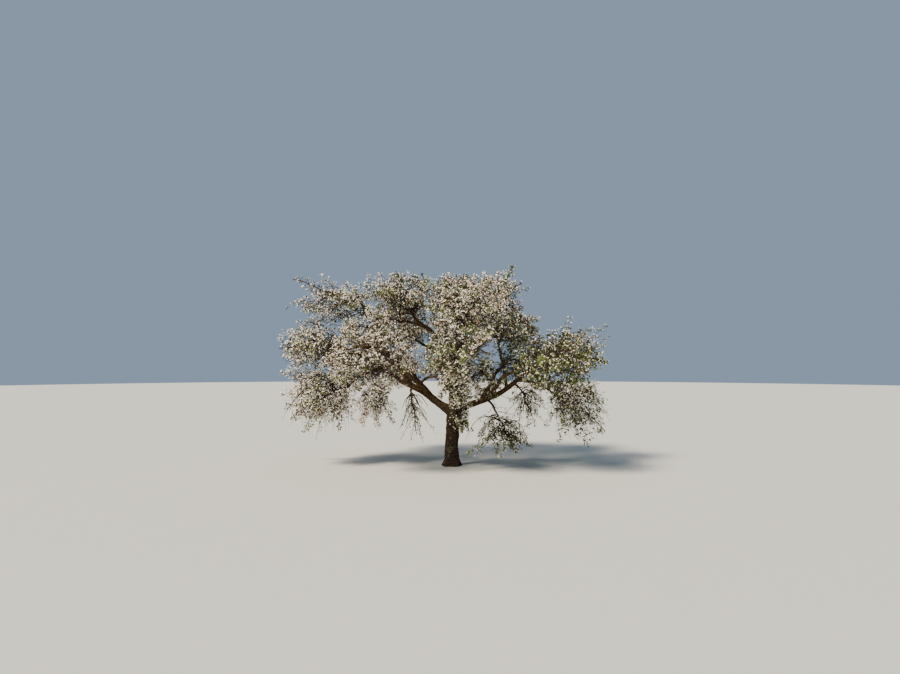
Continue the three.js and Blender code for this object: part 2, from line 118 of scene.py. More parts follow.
# Each limb: the limb that it is on and where, as a share of that one's length, its end, its lift
# above the straight line, and its radii at foot and tip
LIMBS = {
    "leader": ("trunk", 0.86, (0.12, 0.12, 3.9), 0, 0.13, 0.07),
    "left_bough": ("trunk", 0.88, (-2.15, -0.15, 2.93), 0.02, 0.122, 0.06),
    "right_bough": ("trunk", 0.9, (2.95, -0.05, 3.3), -0.21, 0.105, 0.045),
    "left_high_bough": ("left_bough", 0.58, (-3.05, -0.35, 3.48), 0.43, 0.086, 0.045),
    "left_drop_bough": ("left_bough", 0.9, (-3.05, -0.25, 2.35), 0.21, 0.05, 0.032),
    "left_inner_bough": ("left_high_bough", 0.35, (-2.15, -0.6, 3.72), 0.06, 0.048, 0.032),
    "front_left_bough": ("left_bough", 0.35, (-1.6, -1.45, 2.95), 0.14, 0.072, 0.04),
    "back_left_bough": ("left_bough", 0.3, (-1.6, 1.45, 2.95), 0.14, 0.074, 0.042),
    "left_hanging_bough": ("left_bough", 0.72, (-2.0, -0.33, 2.33), 0.04, 0.03, 0.022),
    "knob_stub": ("left_bough", 0.55, (-1.2, -0.23, 2.23), 0.01, 0.042, 0.03),
    "arching_bough": ("left_bough", 0.5, (-0.25, -0.82, 2.6), 0.19, 0.046, 0.032),
    "front_bough": ("leader", 0.12, (0.2, -1.5, 3.25), 0.06, 0.076, 0.042),
    "back_bough": ("leader", 0.1, (-0.05, 1.55, 3.15), 0.06, 0.076, 0.042),
    "right_low_bough": ("right_bough", 0.66, (2.95, -0.35, 2.2), 0.09, 0.05, 0.032),
    "right_rising_bough": ("right_bough", 0.55, (1.4, -0.2, 3.65), 0, 0.05, 0.034),
    "right_drop_bough": ("right_bough", 0.34, (1.42, -0.45, 1.38), 0.1, 0.038, 0.026),
    "right_inner_bough": ("leader", 0.22, (0.56, -0.33, 2.62), 0.02, 0.04, 0.026),
    "right_stub": ("right_bough", 0.62, (2.05, -0.22, 2.27), 0.02, 0.034, 0.024),
    "front_right_bough": ("right_bough", 0.32, (1.85, -1.4, 2.9), 0.1, 0.07, 0.04),
    "back_right_bough": ("right_bough", 0.3, (1.6, 1.45, 2.9), 0.1, 0.074, 0.042),
    "top_left_bough": ("leader", 0.72, (-1.1, -0.15, 4.4), 0.06, 0.062, 0.038),
    "top_far_left_bough": ("top_left_bough", 0.6, (-2.25, -0.1, 4.45), 0.08, 0.044, 0.03),
    "top_right_bough": ("leader", 0.78, (1.05, -0.1, 4.45), 0.06, 0.058, 0.036),
    "top_front_bough": ("leader", 0.62, (0.3, -1.05, 4.0), 0.06, 0.056, 0.036),
    "top_back_bough": ("leader", 0.68, (0.1, 1.15, 4.1), 0.06, 0.058, 0.036),
    "back_left_high_bough": ("leader", 0.55, (-1.35, 0.95, 3.9), 0.12, 0.054, 0.034),
    "back_right_high_bough": ("leader", 0.5, (1.25, 0.95, 3.8), 0.12, 0.054, 0.034),
}


def unit(vectors):
    """Vectors, one or many, drawn to a length of 1."""
    return vectors / np.linalg.norm(vectors, axis=-1, keepdims=True)


def seeded(seed):
    """One stream of numbers from 0 to 1: the same seed always grows the same limb."""
    state = (seed * 48271 + 12345) % 2147483647

    def draw():
        nonlocal state
        state = (state * 16807) % 2147483647
        return state / 2147483647

    return draw


class Sweep:
    """The sweep of a limb or twig: a lifted arch between two points that strays from it a little."""

    def __init__(self, foot, end, lift, crook, seed):
        draw = seeded(seed)
        self.foot = np.array(foot, float)
        self.chord = np.array(end, float) - self.foot
        self.lift = lift
        self.size = float(np.linalg.norm(self.chord))
        self.crook = crook * self.size
        self.phase = (draw() * 2 * math.pi, draw() * 2 * math.pi)
        self.reference = RIGHT if abs(self.chord[2]) > STEEP * self.size else UP
        self.side = unit(np.cross(self.chord, self.reference))
        self.rise = unit(np.cross(self.side, self.chord))

    def points(self, shares):
        """Points on the sweep at these shares of its length."""
        t = np.asarray(shares, float)[..., None]
        stray = np.sin(math.pi * t) * self.crook
        sideways = stray * np.sin(STRAY["sideways"] * math.pi * t + self.phase[0])
        upward = STRAY["flatness"] * stray * np.sin(STRAY["upward"] * math.pi * t + self.phase[1])
        straight = self.foot + self.chord * t + UP * self.lift * 4 * t * (1 - t)
        return straight + self.side * sideways + self.rise * upward

    def tangents(self, shares):
        """Which way the sweep runs at these shares of its length."""
        t = np.asarray(shares, float)
        step = 1e-4
        return unit(self.points(np.minimum(t + step, 1)) - self.points(np.maximum(t - step, 0)))

    def fork(self, end, behind, least, most):
        """Where a twig to this end leaves the sweep: a little behind it, within a range of shares."""
        along = float((end - self.foot) @ self.chord) / self.size**2
        return self.points(min(max(along - behind, least), most))


class Limb:
    """A limb's sweep, with its radius at each share of its length and turn round it."""

    def __init__(self, name, sweep, foot, tip, parent_radius):
        self.name = name
        self.sweep = sweep
        self.foot = foot
        self.tip = tip
        self.parent_radius = parent_radius

    def radius_at(self, shares, turns):
        t = np.asarray(shares, float)
        if self.name == "trunk":
            return trunk_radius(t, turns)
        out = np.maximum(0, t * self.sweep.size - self.parent_radius)
        return self.foot + (self.tip - self.foot) * t + COLLAR * self.foot * np.exp(-out / self.foot)


def trunk_radius(t, turns):
    """The trunk tapers from its flared, buttressed foot to the fork and closes just above it."""
    z = t * TRUNK["height"]
    shaft = TRUNK["foot"] + (TRUNK["fork"] - TRUNK["foot"]) * t
    flare = FLARE["width"] * np.exp(-z / FLARE["height"])
    fluting = 1 + FLARE["share"] * np.exp(-z / FLARE["reach"]) * np.cos(FLARE["buttresses"] * turns)
    closing = np.maximum(0, (t - TRUNK["shoulder"]) / (1 - TRUNK["shoulder"]))
    return (shaft + flare) * fluting * (1 - closing) + TRUNK["close"] * closing


def grow_limbs():
    """Every limb by name, each placed on its parent."""
    trunk = Limb("trunk", Sweep((0, 0, 0), (TRUNK["lean"], 0, TRUNK["height"]), 0, 0, 0), 0, 0, 0)
    grown = {"trunk": trunk}
    for seed, (name, (on, at, end, lift, foot, tip)) in enumerate(LIMBS.items(), 1):
        parent = grown[on]
        sweep = Sweep(parent.sweep.points(at), end, lift, LIMB_CROOK, seed)
        grown[name] = Limb(name, sweep, foot, tip, float(parent.radius_at(at, 0)))
    return grown


SAMPLE_SPACING = 0.06
PART_SIZE = 3000
PATTERN_SHIFT = 7.3  # moves each limb's bark pattern along, so that no two are alike


def sample_limbs():
    """Places down the middle of every limb, each with the limb's own axes, its radius, the distance
    along it and its number."""
    rows = []
    for number, limb in enumerate(limbs.values()):
        count = math.ceil(limb.sweep.size / SAMPLE_SPACING)
        shares = np.arange(count + 1) / count
        along = limb.sweep.tangents(shares)
        side = unit(np.cross(along, limb.sweep.reference))
        size = (limb.radius_at(shares, 0), shares * limb.sweep.size, np.full(count + 1, number))
        rows.append((limb.sweep.points(shares), along, side, np.cross(side, along), *size))
    return [np.concatenate(column) for column in zip(*rows)]


limbs = grow_limbs()
core, core_along, core_side, core_rise, core_radius, core_distance, core_limb = sample_limbs()
LIMB_STARTS = np.searchsorted(core_limb, np.arange(len(limbs)))


def limb_gaps(points):
    """How far each of these points is from the bark round each place inside the limbs."""
    return np.linalg.norm(points[:, None] - core, axis=2) - core_radius


def in_parts(points):
    """The same points in parts that are small enough to compare with every limb."""
    return np.array_split(points, math.ceil(len(points) / PART_SIZE))


def bark_place(points):
    """For each point of the bark, its place across and along the nearest limb, the limb's radius
    there, and how much nearer that limb is than the next."""
    places, radii, margins = [], [], []
    for part in in_parts(points):
        gaps = limb_gaps(part)
        nearest = gaps.argmin(axis=1)
        by_limb = np.sort(np.minimum.reduceat(gaps, LIMB_STARTS, axis=1), axis=1)
        offset = part - core[nearest]
        across = (offset * core_side[nearest]).sum(axis=1)
        upward = (offset * core_rise[nearest]).sum(axis=1)
        along = core_distance[nearest] + (offset * core_along[nearest]).sum(axis=1)
        along = along + PATTERN_SHIFT * core_limb[nearest]
        places.append(np.stack((across, upward, along), axis=1))
        radii.append(core_radius[nearest])
        margins.append(by_limb[:, 1] - by_limb[:, 0])
    return np.concatenate(places), np.concatenate(radii), np.concatenate(margins)


def mesh_points(piece):
    """The points of a piece's mesh."""
    points = np.empty(len(piece.data.vertices) * 3)
    piece.data.vertices.foreach_get("co", points)
    return points.reshape(-1, 3)


def move_points(piece, points):
    """Gives the points of a piece's mesh new places."""
    piece.data.vertices.foreach_set("co", points.ravel())
    piece.data.update()


LIMB_SIDES = 20
RING_SPACING = 0.07


def draw_limb(limb):
    """A disc drawn out ring by ring, and the rings carried on to the limb's sweep."""
    rings = math.ceil(limb.sweep.size / RING_SPACING)
    bpy.ops.mesh.primitive_circle_add(vertices=LIMB_SIDES, radius=1, fill_type="NGON")
    piece = bpy.context.active_object
    bpy.ops.object.mode_set(mode="EDIT")
    bpy.ops.mesh.select_all(action="SELECT")
    for _ in range(rings):
        bpy.ops.mesh.extrude_region_move(TRANSFORM_OT_translate={"value": (0, 0, 1)})
    bpy.ops.mesh.select_all(action="SELECT")
    bpy.ops.mesh.normals_make_consistent(inside=False)
    bpy.ops.object.mode_set(mode="OBJECT")
    drawn = mesh_points(piece)
    shares = drawn[:, 2] / rings
    radii = limb.radius_at(shares, np.arctan2(drawn[:, 1], drawn[:, 0]))[:, None]
    side = unit(np.cross(limb.sweep.tangents(shares), limb.sweep.reference))
    rise = np.cross(side, limb.sweep.tangents(shares))
    placed = limb.sweep.points(shares) + (side * drawn[:, :1] + rise * drawn[:, 1:2]) * radii
    if limb.name == "trunk":
        placed[shares == 0, 2] = -BELOW_GROUND
    move_points(piece, placed)
    return piece


def apply_modifier(piece, kind, settings):
    """Adds a modifier to a piece and applies it."""
    bpy.ops.object.select_all(action="DESELECT")
    piece.select_set(True)
    bpy.context.view_layer.objects.active = piece
    modifier = piece.modifiers.new(kind.lower(), kind)
    for key, value in settings.items():
        setattr(modifier, key, value)
    bpy.ops.object.modifier_apply(modifier=modifier.name)


PLATE_WIDTH = 0.05  # bark plates of an old apple tree, round the trunk
PLATE_LENGTH = 0.085
PLATE_HEIGHT = 0.013
PLATE = {"warp": 0.35, "crack": 0.35, "rounding": 0.6, "level": 0.6}  # as shares of a plate
FULL_BARK_RADIUS = 0.14  # thinner limbs have shallower bark
LUMPS = {"size": 0.33, "height": 0.11}  # the height is a share of the limb's radius
LUMP_NOISE = (0.7, 2, 3)
FORK_MARGIN = 0.03  # the relief fades out this near to a fork


def bark_height(place, radius, margin):
    """How far the bark stands out: low lumps, and plates parted by cracks."""
    thickness = min(1, radius / FULL_BARK_RADIUS)
    lumps = noise.fractal([c / LUMPS["size"] for c in place], *LUMP_NOISE) * LUMPS["height"] * radius
    warp = noise.noise_vector([c / (2 * PLATE_LENGTH) for c in place])
    x, y, along = (c + PLATE["warp"] * PLATE_WIDTH * w for c, w in zip(place, warp))
    gaps, _ = noise.voronoi((x / PLATE_WIDTH, y / PLATE_WIDTH, along / PLATE_LENGTH))
    plate = min(1, (gaps[1] - gaps[0]) / PLATE["crack"]) ** PLATE["rounding"]
    return (lumps + (plate - PLATE["level"]) * PLATE_HEIGHT * thickness) * min(1, margin / FORK_MARGIN)


def make_bark(name, names, voxel, keep):
    """Fuses some limbs, raises their bark and marks every point with its place on its limb."""
    drawn = [draw_limb(limbs[n]) for n in names]
    bpy.ops.object.select_all(action="DESELECT")
    for piece in drawn:
        piece.select_set(True)
    bark = drawn[0]
    bpy.context.view_layer.objects.active = bark
    bpy.ops.object.join()
    bark.name = name
    bark.data.name = name
    apply_modifier(bark, "REMESH", {"mode": "VOXEL", "voxel_size": voxel, "use_smooth_shade": True})
    apply_modifier(bark, "SMOOTH", {"factor": 0.5, "iterations": 4})
    points = mesh_points(bark)
    normals = np.array([v.vector for v in bark.data.vertex_normals])
    measures = [values.tolist() for values in bark_place(points)]
    heights = np.array([bark_height(*row) for row in zip(*measures)])
    move_points(bark, points + normals * heights[:, None])
    if "trunk" in names:
        bpy.ops.object.mode_set(mode="EDIT")
        bpy.ops.mesh.select_all(action="SELECT")
        bpy.ops.mesh.bisect(plane_co=(0, 0, 0), plane_no=(0, 0, 1), use_fill=True, clear_inner=True)
        bpy.ops.object.mode_set(mode="OBJECT")
    apply_modifier(bark, "DECIMATE", {"ratio": keep})
    places, radii, _ = bark_place(mesh_points(bark))
    grain = bark.data.attributes.new("grain", "FLOAT_VECTOR", "POINT")
    grain.data.foreach_set("vector", places.ravel())
    girth = bark.data.attributes.new("girth", "FLOAT", "POINT")
    girth.data.foreach_set("value", radii)
    bpy.ops.object.shade_smooth()
    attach(bark, "root")
    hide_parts(*names)
    return bark


main_bark = make_bark("trunk_and_main_boughs", MAIN_LIMBS, voxel=0.0115, keep=0.5)
bough_bark = make_bark("boughs", [n for n in limbs if n not in MAIN_LIMBS], voxel=0.0155, keep=0.45)

# Old apple bark: grey-brown plates weathered matt, dark in the cracks between them and painted
# near black there as shade, with rust-orange and grey-green lichen where light and rain reach it
old_bark = bpy.data.materials.new("old_apple_bark")
old_bark.use_nodes = True
tree = old_bark.node_tree


def add_node(kind, settings=None, values=None, links=None):
    """One node with its settings, the values of its sockets and the sockets linked into it."""
    node = tree.nodes.new(kind)
    for key, value in (settings or {}).items():
        setattr(node, key, value)
    for key, value in (values or {}).items():
        node.inputs[key].default_value = value
    for key, source in (links or {}).items():
        tree.links.new(source, node.inputs[key])
    return node


grain = add_node("ShaderNodeAttribute", {"attribute_name": "grain"}).outputs["Vector"]
plate_scale = (1 / PLATE_WIDTH, 1 / PLATE_WIDTH, 1 / PLATE_LENGTH)
stretched = add_node("ShaderNodeMapping", None, {"Scale": plate_scale}, {"Vector": grain})
plates = {"Vector": stretched.outputs["Vector"]}
cracks = add_node(
    "ShaderNodeTexVoronoi", {"feature": "DISTANCE_TO_EDGE"}, {"Scale": 1.6, "Randomness": 1}, plates
)
mottle = add_node("ShaderNodeTexNoise", None, {"Scale": 1.3, "Detail": 5, "Roughness": 0.62}, plates)
fibres = add_node("ShaderNodeTexNoise", None, {"Scale": 9, "Detail": 3}, plates)
shades = []
for dark, light in (("5a4430", "8f7a5c"), ("3d3026", "6d5f51")):  # the boughs' and the trunk's
    ramp = add_node("ShaderNodeValToRGB", None, None, {"Fac": mottle.outputs["Fac"]})
    for element, position, shade in zip(ramp.color_ramp.elements, (0.32, 0.68), (dark, light)):
        element.position = position
        element.color = linear(shade)
    shades.append(ramp.outputs["Color"])
girth = add_node("ShaderNodeAttribute", {"attribute_name": "girth"})
thick = add_node(
    "ShaderNodeMapRange", None, {"From Min": 0.08, "From Max": 0.16}, {"Value": girth.outputs["Fac"]}
)
plate_colour = add_node(
    "ShaderNodeMix", {"data_type": "RGBA"}, None,
    {"Factor": thick.outputs["Result"], "A": shades[0], "B": shades[1]},
)
crack_mask = add_node(
    "ShaderNodeMapRange", {"interpolation_type": "SMOOTHSTEP"}, {"From Min": 0, "From Max": 0.16},
    {"Value": cracks.outputs["Distance"]},
)
# The cracks between the plates go near black: dark bark with painted shade on top of it
plates_and_shaded_cracks = add_node(
    "ShaderNodeMix", {"data_type": "RGBA"}, {"A": linear("1d1612")},
    {"Factor": crack_mask.outputs["Result"], "B": plate_colour.outputs["Result"]},
)
lichen_spread = add_node(
    "ShaderNodeTexNoise", None, {"Scale": 4.2, "Detail": 6, "Roughness": 0.7}, {"Vector": grain}
)
facing = add_node("ShaderNodeNewGeometry")
upward = add_node("ShaderNodeSeparateXYZ", None, None, {"Vector": facing.outputs["Normal"]})
lit_side = add_node(
    "ShaderNodeMapRange", None, {"From Min": -0.7, "From Max": 1, "To Min": -0.12, "To Max": 0.1},
    {"Value": upward.outputs["Z"]},
)
lichen_amount = add_node(
    "ShaderNodeMath", {"operation": "ADD"}, None,
    {0: lichen_spread.outputs["Fac"], 1: lit_side.outputs["Result"]},
)
crust_spread = add_node(
    "ShaderNodeTexNoise", None, {"Scale": 7.5, "Detail": 5, "Roughness": 0.65}, {"Vector": grain}
)
covered = plates_and_shaded_cracks
for low, high, most, hex_colour, source in (
    (0.57, 0.68, 0.6, "8a5a2c", lichen_amount.outputs["Value"]),  # rust-orange lichen
    (0.58, 0.66, 0.7, "7c7b5c", crust_spread.outputs["Fac"]),  # grey-green crusts
):
    cover = add_node(
        "ShaderNodeMapRange", {"interpolation_type": "SMOOTHSTEP"},
        {"From Min": low, "From Max": high, "To Max": most}, {"Value": source},
    )
    covered = add_node(
        "ShaderNodeMix", {"data_type": "RGBA"}, {"B": linear(hex_colour)},
        {"Factor": cover.outputs["Result"], "A": covered.outputs["Result"]},
    )
crack_bump = add_node(
    "ShaderNodeBump", None, {"Strength": 0.7, "Distance": 0.006}, {"Height": crack_mask.outputs["Result"]}
)
fibre_bump = add_node(
    "ShaderNodeBump", None, {"Strength": 0.5, "Distance": 0.002},
    {"Height": fibres.outputs["Fac"], "Normal": crack_bump.outputs["Normal"]},
)
bark_shader = tree.nodes["Principled BSDF"]
bark_shader.inputs["Roughness"].default_value = 0.93
bark_shader.inputs["Specular IOR Level"].default_value = 0.25
tree.links.new(covered.outputs["Result"], bark_shader.inputs["Base Color"])
tree.links.new(fibre_bump.outputs["Normal"], bark_shader.inputs["Normal"])
for piece in (main_bark, bough_bark):
    piece.data.materials.clear()
    piece.data.materials.append(old_bark)

# Twigs
# Grey-brown apple shoots. Each bough's tip goes on as a stem, twigs branch from it towards places
# spread evenly over the mass's ellipsoid, and every spray on a twig is a shoot with short side
# shoots. More shoots stand along the boughs, past the crown's edge and in its notches.
SEAM = 0.0003  # the air between a bough's tip and its stem
STEM = {"tip": 0.012, "taper": 0.6, "lift": 0.06, "crook": 0.05, "sprayed": (0.5, 0.85), "apart": 0.4}
OVERREACH = 1.35  # a mass's space ends this many times its half sizes from its middle
WALL_CLEARANCE = 0.008
FULL_SIZE = 0.9  # the mean half size of a mass whose sprays are of full size
FORK_TUFT_FOOT = 0.026
FORK_TUFT_AT = 0.85  # up the trunk, as a share of its height

# The mass at each limb's tip, in the limbs' order: its centre and half sizes, the furthest sprig
# where it isn't straight across from the limb, how full it is, and whether it hangs
MASSES = {
    "top_middle": ((0.15, 0.25, 5.0), (0.85, 0.95, 0.76), (0.38, 0.15, 5.76), 1, False),
    "left_centre": ((-2.9, -0.45, 2.95), (0.85, 0.85, 0.48), (-3.7, -0.7, 2.95), 0.9, False),
    "right_outer": ((3.65, -0.05, 3.23), (0.87, 1.25, 0.85), (4.66, -0.2, 3.02), 1.1, False),
    "left_outer": ((-3.95, -0.15, 3.5), (1.05, 1.25, 0.7), (-5.06, -0.45, 3.48), 1.1, False),
    "left_low": ((-3.85, -0.05, 2.15), (0.95, 1.2, 0.85), (-4.65, -0.4, 1.5), 1.1, True),
    "left_inner": ((-2.15, -0.8, 4.0), (1.0, 0.85, 0.62), None, 0.8, False),
    "front_left": ((-2.15, -2.15, 3.1), (1.25, 1.1, 0.85), None, 0.9, False),
    "back_left": ((-2.15, 2.25, 3.15), (1.25, 1.15, 0.95), None, 1, False),
    "left_hanging": ((-2.25, -0.35, 1.98), (0.6, 0.7, 0.52), None, 0.6, True),
    "knob_twigs": ((-1.12, -0.3, 1.65), (0.48, 0.45, 0.6), None, 0, True),
    "front_low": ((0.25, -1.1, 2.7), (0.56, 0.52, 0.62), (0.3, -1.15, 2.0), 0.7, True),
    "front_middle": ((0.4, -2.4, 3.4), (1.05, 1.05, 0.85), None, 1, False),
    "back_middle": ((0, 2.55, 3.35), (1.15, 1.15, 0.85), None, 1, False),
    "right_low": ((3.65, -0.2, 1.98), (0.88, 1.1, 0.86), (4.5, -0.45, 1.05), 1.4, True),
    "right_middle": ((1.7, -0.4, 4.0), (0.85, 0.85, 0.56), None, 0.9, False),
    "right_hanging": ((1.4, -0.7, 1.12), (0.85, 0.6, 0.45), (1.75, -0.8, 0.62), 0.8, True),
    "right_inner": ((1.0, -0.45, 2.75), (0.6, 0.6, 0.38), None, 0.45, False),
    "right_twigs": ((2.2, -0.3, 1.9), (0.56, 0.48, 0.42), None, 0.1, True),
    "front_right": ((2.75, -2.1, 3.05), (1.1, 1.1, 0.8), None, 0.9, False),
    "back_right": ((2.45, 2.25, 3.15), (1.2, 1.15, 0.9), None, 1, False),
    "top_left": ((-1.35, -0.25, 5.05), (0.98, 1.0, 0.73), (-1.65, -0.3, 5.78), 1.1, False),
    "left_upper": ((-3.35, 0, 4.7), (1.3, 1.2, 0.7), (-4.72, -0.25, 5.54), 1.1, False),
    "top_right": ((1.25, -0.2, 5.0), (0.85, 1.0, 0.75), (1.87, -0.2, 5.94), 1.1, False),
    "top_front": ((0.5, -1.65, 4.5), (1.0, 0.9, 0.8), None, 1, False),
    "top_back": ((0.15, 1.8, 4.65), (1.15, 0.95, 0.8), None, 1, False),
    "back_left_high": ((-1.5, 1.45, 4.4), (1.0, 1.0, 0.75), None, 1, False),
    "back_right_high": ((1.65, 1.45, 4.3), (0.9, 1.0, 0.72), None, 1, False),
    "fork_tuft": ((0.26, -0.42, 1.62), (0.27, 0.26, 0.38), (0.33, -0.52, 1.33), 0.6, True),
}


def far_out(points, middle, half):
    """How far out points are in an ellipsoid: 0 at its middle and 1 on its surface."""
    return np.linalg.norm((points - middle) / half, axis=-1)


class Mass:
    """One mass of twigs: the space that it keeps to and the stem that it grows from."""

    def __init__(self, seed, name, limb, start, stem_foot):
        centre, half, sprig, self.fullness, self.hangs = MASSES[name]
        self.seed = seed
        self.name = name
        self.limb = limb
        self.centre = np.array(centre)
        self.half = np.array(half)
        self.scale = float(np.cbrt(self.half.prod())) / FULL_SIZE
        self.stem_foot = stem_foot
        self.walls = []
        self.twigs = []
        self.sprays = []
        way = self.centre - start
        across = self.centre + way / np.linalg.norm(way / self.half)
        self.sprig = across if sprig is None else np.array(sprig)
        lift = STEM["lift"] * float(np.linalg.norm(self.sprig - start))
        self.stem = Sweep(start, self.sprig, lift, STEM["crook"], seed)

    def holds(self, points):
        """Which of these points are in the mass's space."""
        inside = far_out(points, self.centre, self.half) <= OVERREACH
        for normal, offset in self.walls:
            inside = inside & (points @ normal - offset < -WALL_CLEARANCE)
        return inside


def place_masses():
    """Every mass, on its limb's tip or on the side of the trunk, with walls to its neighbours."""
    placed = []
    for seed, (name, limb) in enumerate(zip(MASSES, list(limbs.values())[1:]), 1):
        start = limb.sweep.points(1) + SEAM * limb.sweep.tangents(1)
        placed.append(Mass(seed, name, limb, start, limb.tip))
    start = limbs["trunk"].sweep.points(FORK_TUFT_AT)
    placed.append(Mass(len(MASSES), "fork_tuft", limbs["trunk"], start, FORK_TUFT_FOOT))
    for mass, other in itertools.permutations(placed, 2):
        line = other.centre - mass.centre
        gap = float(np.linalg.norm(line))
        way = line / gap
        own = 1 / np.linalg.norm(way / mass.half)
        theirs = 1 / np.linalg.norm(way / other.half)
        if OVERREACH * (own + theirs) >= gap:
            wall = mass.centre + way * gap * own / (own + theirs)
            mass.walls.append((way, float(wall @ way)))
    return placed


masses = place_masses()
GOLDEN_TURN = math.pi * (3 - math.sqrt(5))
LIMB_CLEARANCE = 0.016
TWIG = {"reach": 0.6, "range": 0.25, "foot": 0.017, "tip": 0.008, "sprayed": (0.45, 1), "apart": 0.4}
FINE_TWIG = {"reach": 0.5, "range": 0.5, "foot": 0.015, "tip": 0.007, "sprayed": (0.5, 1), "apart": 0.22}
TWIG_COUNT = {"bare": 6, "fewest": 2.4, "fuller": 3.4}
EXTRA_TWIGS = 4  # finer twigs that fill a mass, for each one that its solid has
TWIG_CROOK = 0.05
TWIG_PULLS = (1, 0.8, 0.6, 0.4)  # a twig that doesn't fit draws in to these shares of its reach
TWIG_FORK = (0.25, 0.06, 0.88)  # it leaves the stem this far behind its end, within this range
TWIG_TESTS = np.arange(1, 11) / 10
ARCH = {"rising": (0.12, -0.26), "hanging": (0.2, 0.1)}  # a twig's lift, and what chance adds
LEAF_SPRAY = (0.85, 0.56, 0.05)  # length, width and thickness
BLOSSOM_TUFT = (0.7, 0.54, 0.3)
SPRAY = {"leafy": 0.45, "smallest": 0.85, "range": 0.3, "roll": 1.6, "lean": 1.2, "tip_lean": 0.2,
         "rise": 0.15, "droop": -0.35, "sunk": 0.6, "attempts": 5}
SPRAY_TESTS = np.repeat((0.2, 0.4, 0.6, 0.8, 1), 3)[:, None]
SPRAY_HALF = 0.5 - abs(SPRAY_TESTS - 0.5)  # its half width there
SPRAY_EDGES = np.tile((-1, 0, 1), 5)[:, None] * SPRAY_HALF


def clear_of_limbs(points, around):
    """Whether every one of these points is clear of every limb by more than around."""
    return bool((limb_gaps(points).min(axis=1) > around + LIMB_CLEARANCE).all())


def square_to(along):
    """A way square to another, level unless that one is steep."""
    return unit(np.cross(along, RIGHT if abs(along[2]) > STEEP else UP))


def twig_aim(mass, i, count, reach):
    """Where twig i of count aims: a golden spiral spreads the places evenly over the ellipsoid."""
    z = 1 - (2 * i + 1) / count
    turn = i * GOLDEN_TURN + mass.seed
    flat = math.sqrt(1 - z * z)
    return mass.centre + np.array((flat * math.cos(turn), flat * math.sin(turn), z)) * mass.half * reach


class Spray:
    """One spray of leaves or tuft of blossom that stands out from its twig."""

    bloom = 0  # the share of its side shoots that bloom, if that doesn't go by its place in the crown

    def __init__(self, mass, sweep, t, turn, lean, kind):
        self.mass = mass
        self.leafy, scale, roll = kind
        size = np.array(LEAF_SPRAY if self.leafy else BLOSSOM_TUFT) * scale
        self.length, self.width, self.thickness = size
        out = sweep.side * math.cos(turn) + sweep.rise * math.sin(turn)
        rise = SPRAY["droop"] if mass.hangs else SPRAY["rise"]
        self.along = unit(sweep.tangents(t) + out * lean + UP * rise)
        flat = square_to(self.along)
        self.across = flat * math.cos(roll) + np.cross(self.along, flat) * math.sin(roll)
        self.root = sweep.points(t) - self.along * SPRAY["sunk"] * TWIG["tip"]
        self.middle = self.root + self.along * self.length / 2

    def fits(self, apart):
        """Whether it keeps to its mass's space, clear of the limbs and of its other sprays."""
        blade = self.root + self.along * SPRAY_TESTS * self.length + self.across * SPRAY_EDGES * self.width
        return (
            self.mass.holds(blade).all()
            and clear_of_limbs(blade, SPRAY_HALF[:, 0] * self.thickness)
            and all(np.linalg.norm(s.middle - self.middle) > apart * self.length for s in self.mass.sprays)
        )


def add_sprays(mass, sweep, size, draw):
    """Two sprays stand out from a twig, and the second first tries to carry on from its end."""
    for at_end, t in enumerate(size["sprayed"]):
        leafy = draw() < SPRAY["leafy"]
        scale = mass.scale * (SPRAY["smallest"] + SPRAY["range"] * draw())
        kind = (leafy, scale, (draw() - 0.5) * SPRAY["roll"])
        first_turn = 2 * math.pi * draw()
        for attempt in range(SPRAY["attempts"]):
            lean = SPRAY["tip_lean"] if at_end and attempt == 0 else SPRAY["lean"]
            spray = Spray(mass, sweep, t, first_turn + attempt * GOLDEN_TURN, lean, kind)
            if spray.fits(size["apart"]):
                mass.sprays.append(spray)
                break


def grow_twig(mass, size, i, count, draw, seed):
    """A twig leaves the stem short of the place it aims at, and pulls in its reach until it fits."""
    reach = size["reach"] + size["range"] * draw()
    lift, change = ARCH["hanging" if mass.hangs else "rising"]
    lift_share = lift + change * draw()
    for pull in TWIG_PULLS:
        end = twig_aim(mass, i, count, reach * pull)
        foot = mass.stem.fork(end, *TWIG_FORK)
        twig = Sweep(foot, end, lift_share * float(np.linalg.norm(end - foot)), TWIG_CROOK, seed)
        tests = twig.points(TWIG_TESTS)
        if mass.holds(tests).all() and clear_of_limbs(tests, TWIG["foot"]):
            return twig
    return None


def grow_mass(mass):
    """The twigs and sprays of a mass: first those that its solid has, then the finer ones."""
    draw = seeded(mass.seed)
    count = TWIG_COUNT["bare"]
    if mass.fullness:
        count = round(TWIG_COUNT["fewest"] + TWIG_COUNT["fuller"] * mass.fullness)
        add_sprays(mass, mass.stem, STEM, draw)
    for size, number, seeds in ((TWIG, count, 100), (FINE_TWIG, count * EXTRA_TWIGS, 1000)):
        for i in range(number):
            twig = grow_twig(mass, size, i, number, draw, mass.seed * seeds + i)
            if twig is None:
                continue
            mass.twigs.append(twig)
            if mass.fullness:
                add_sprays(mass, twig, size, draw)


for mass in masses:
    grow_mass(mass)

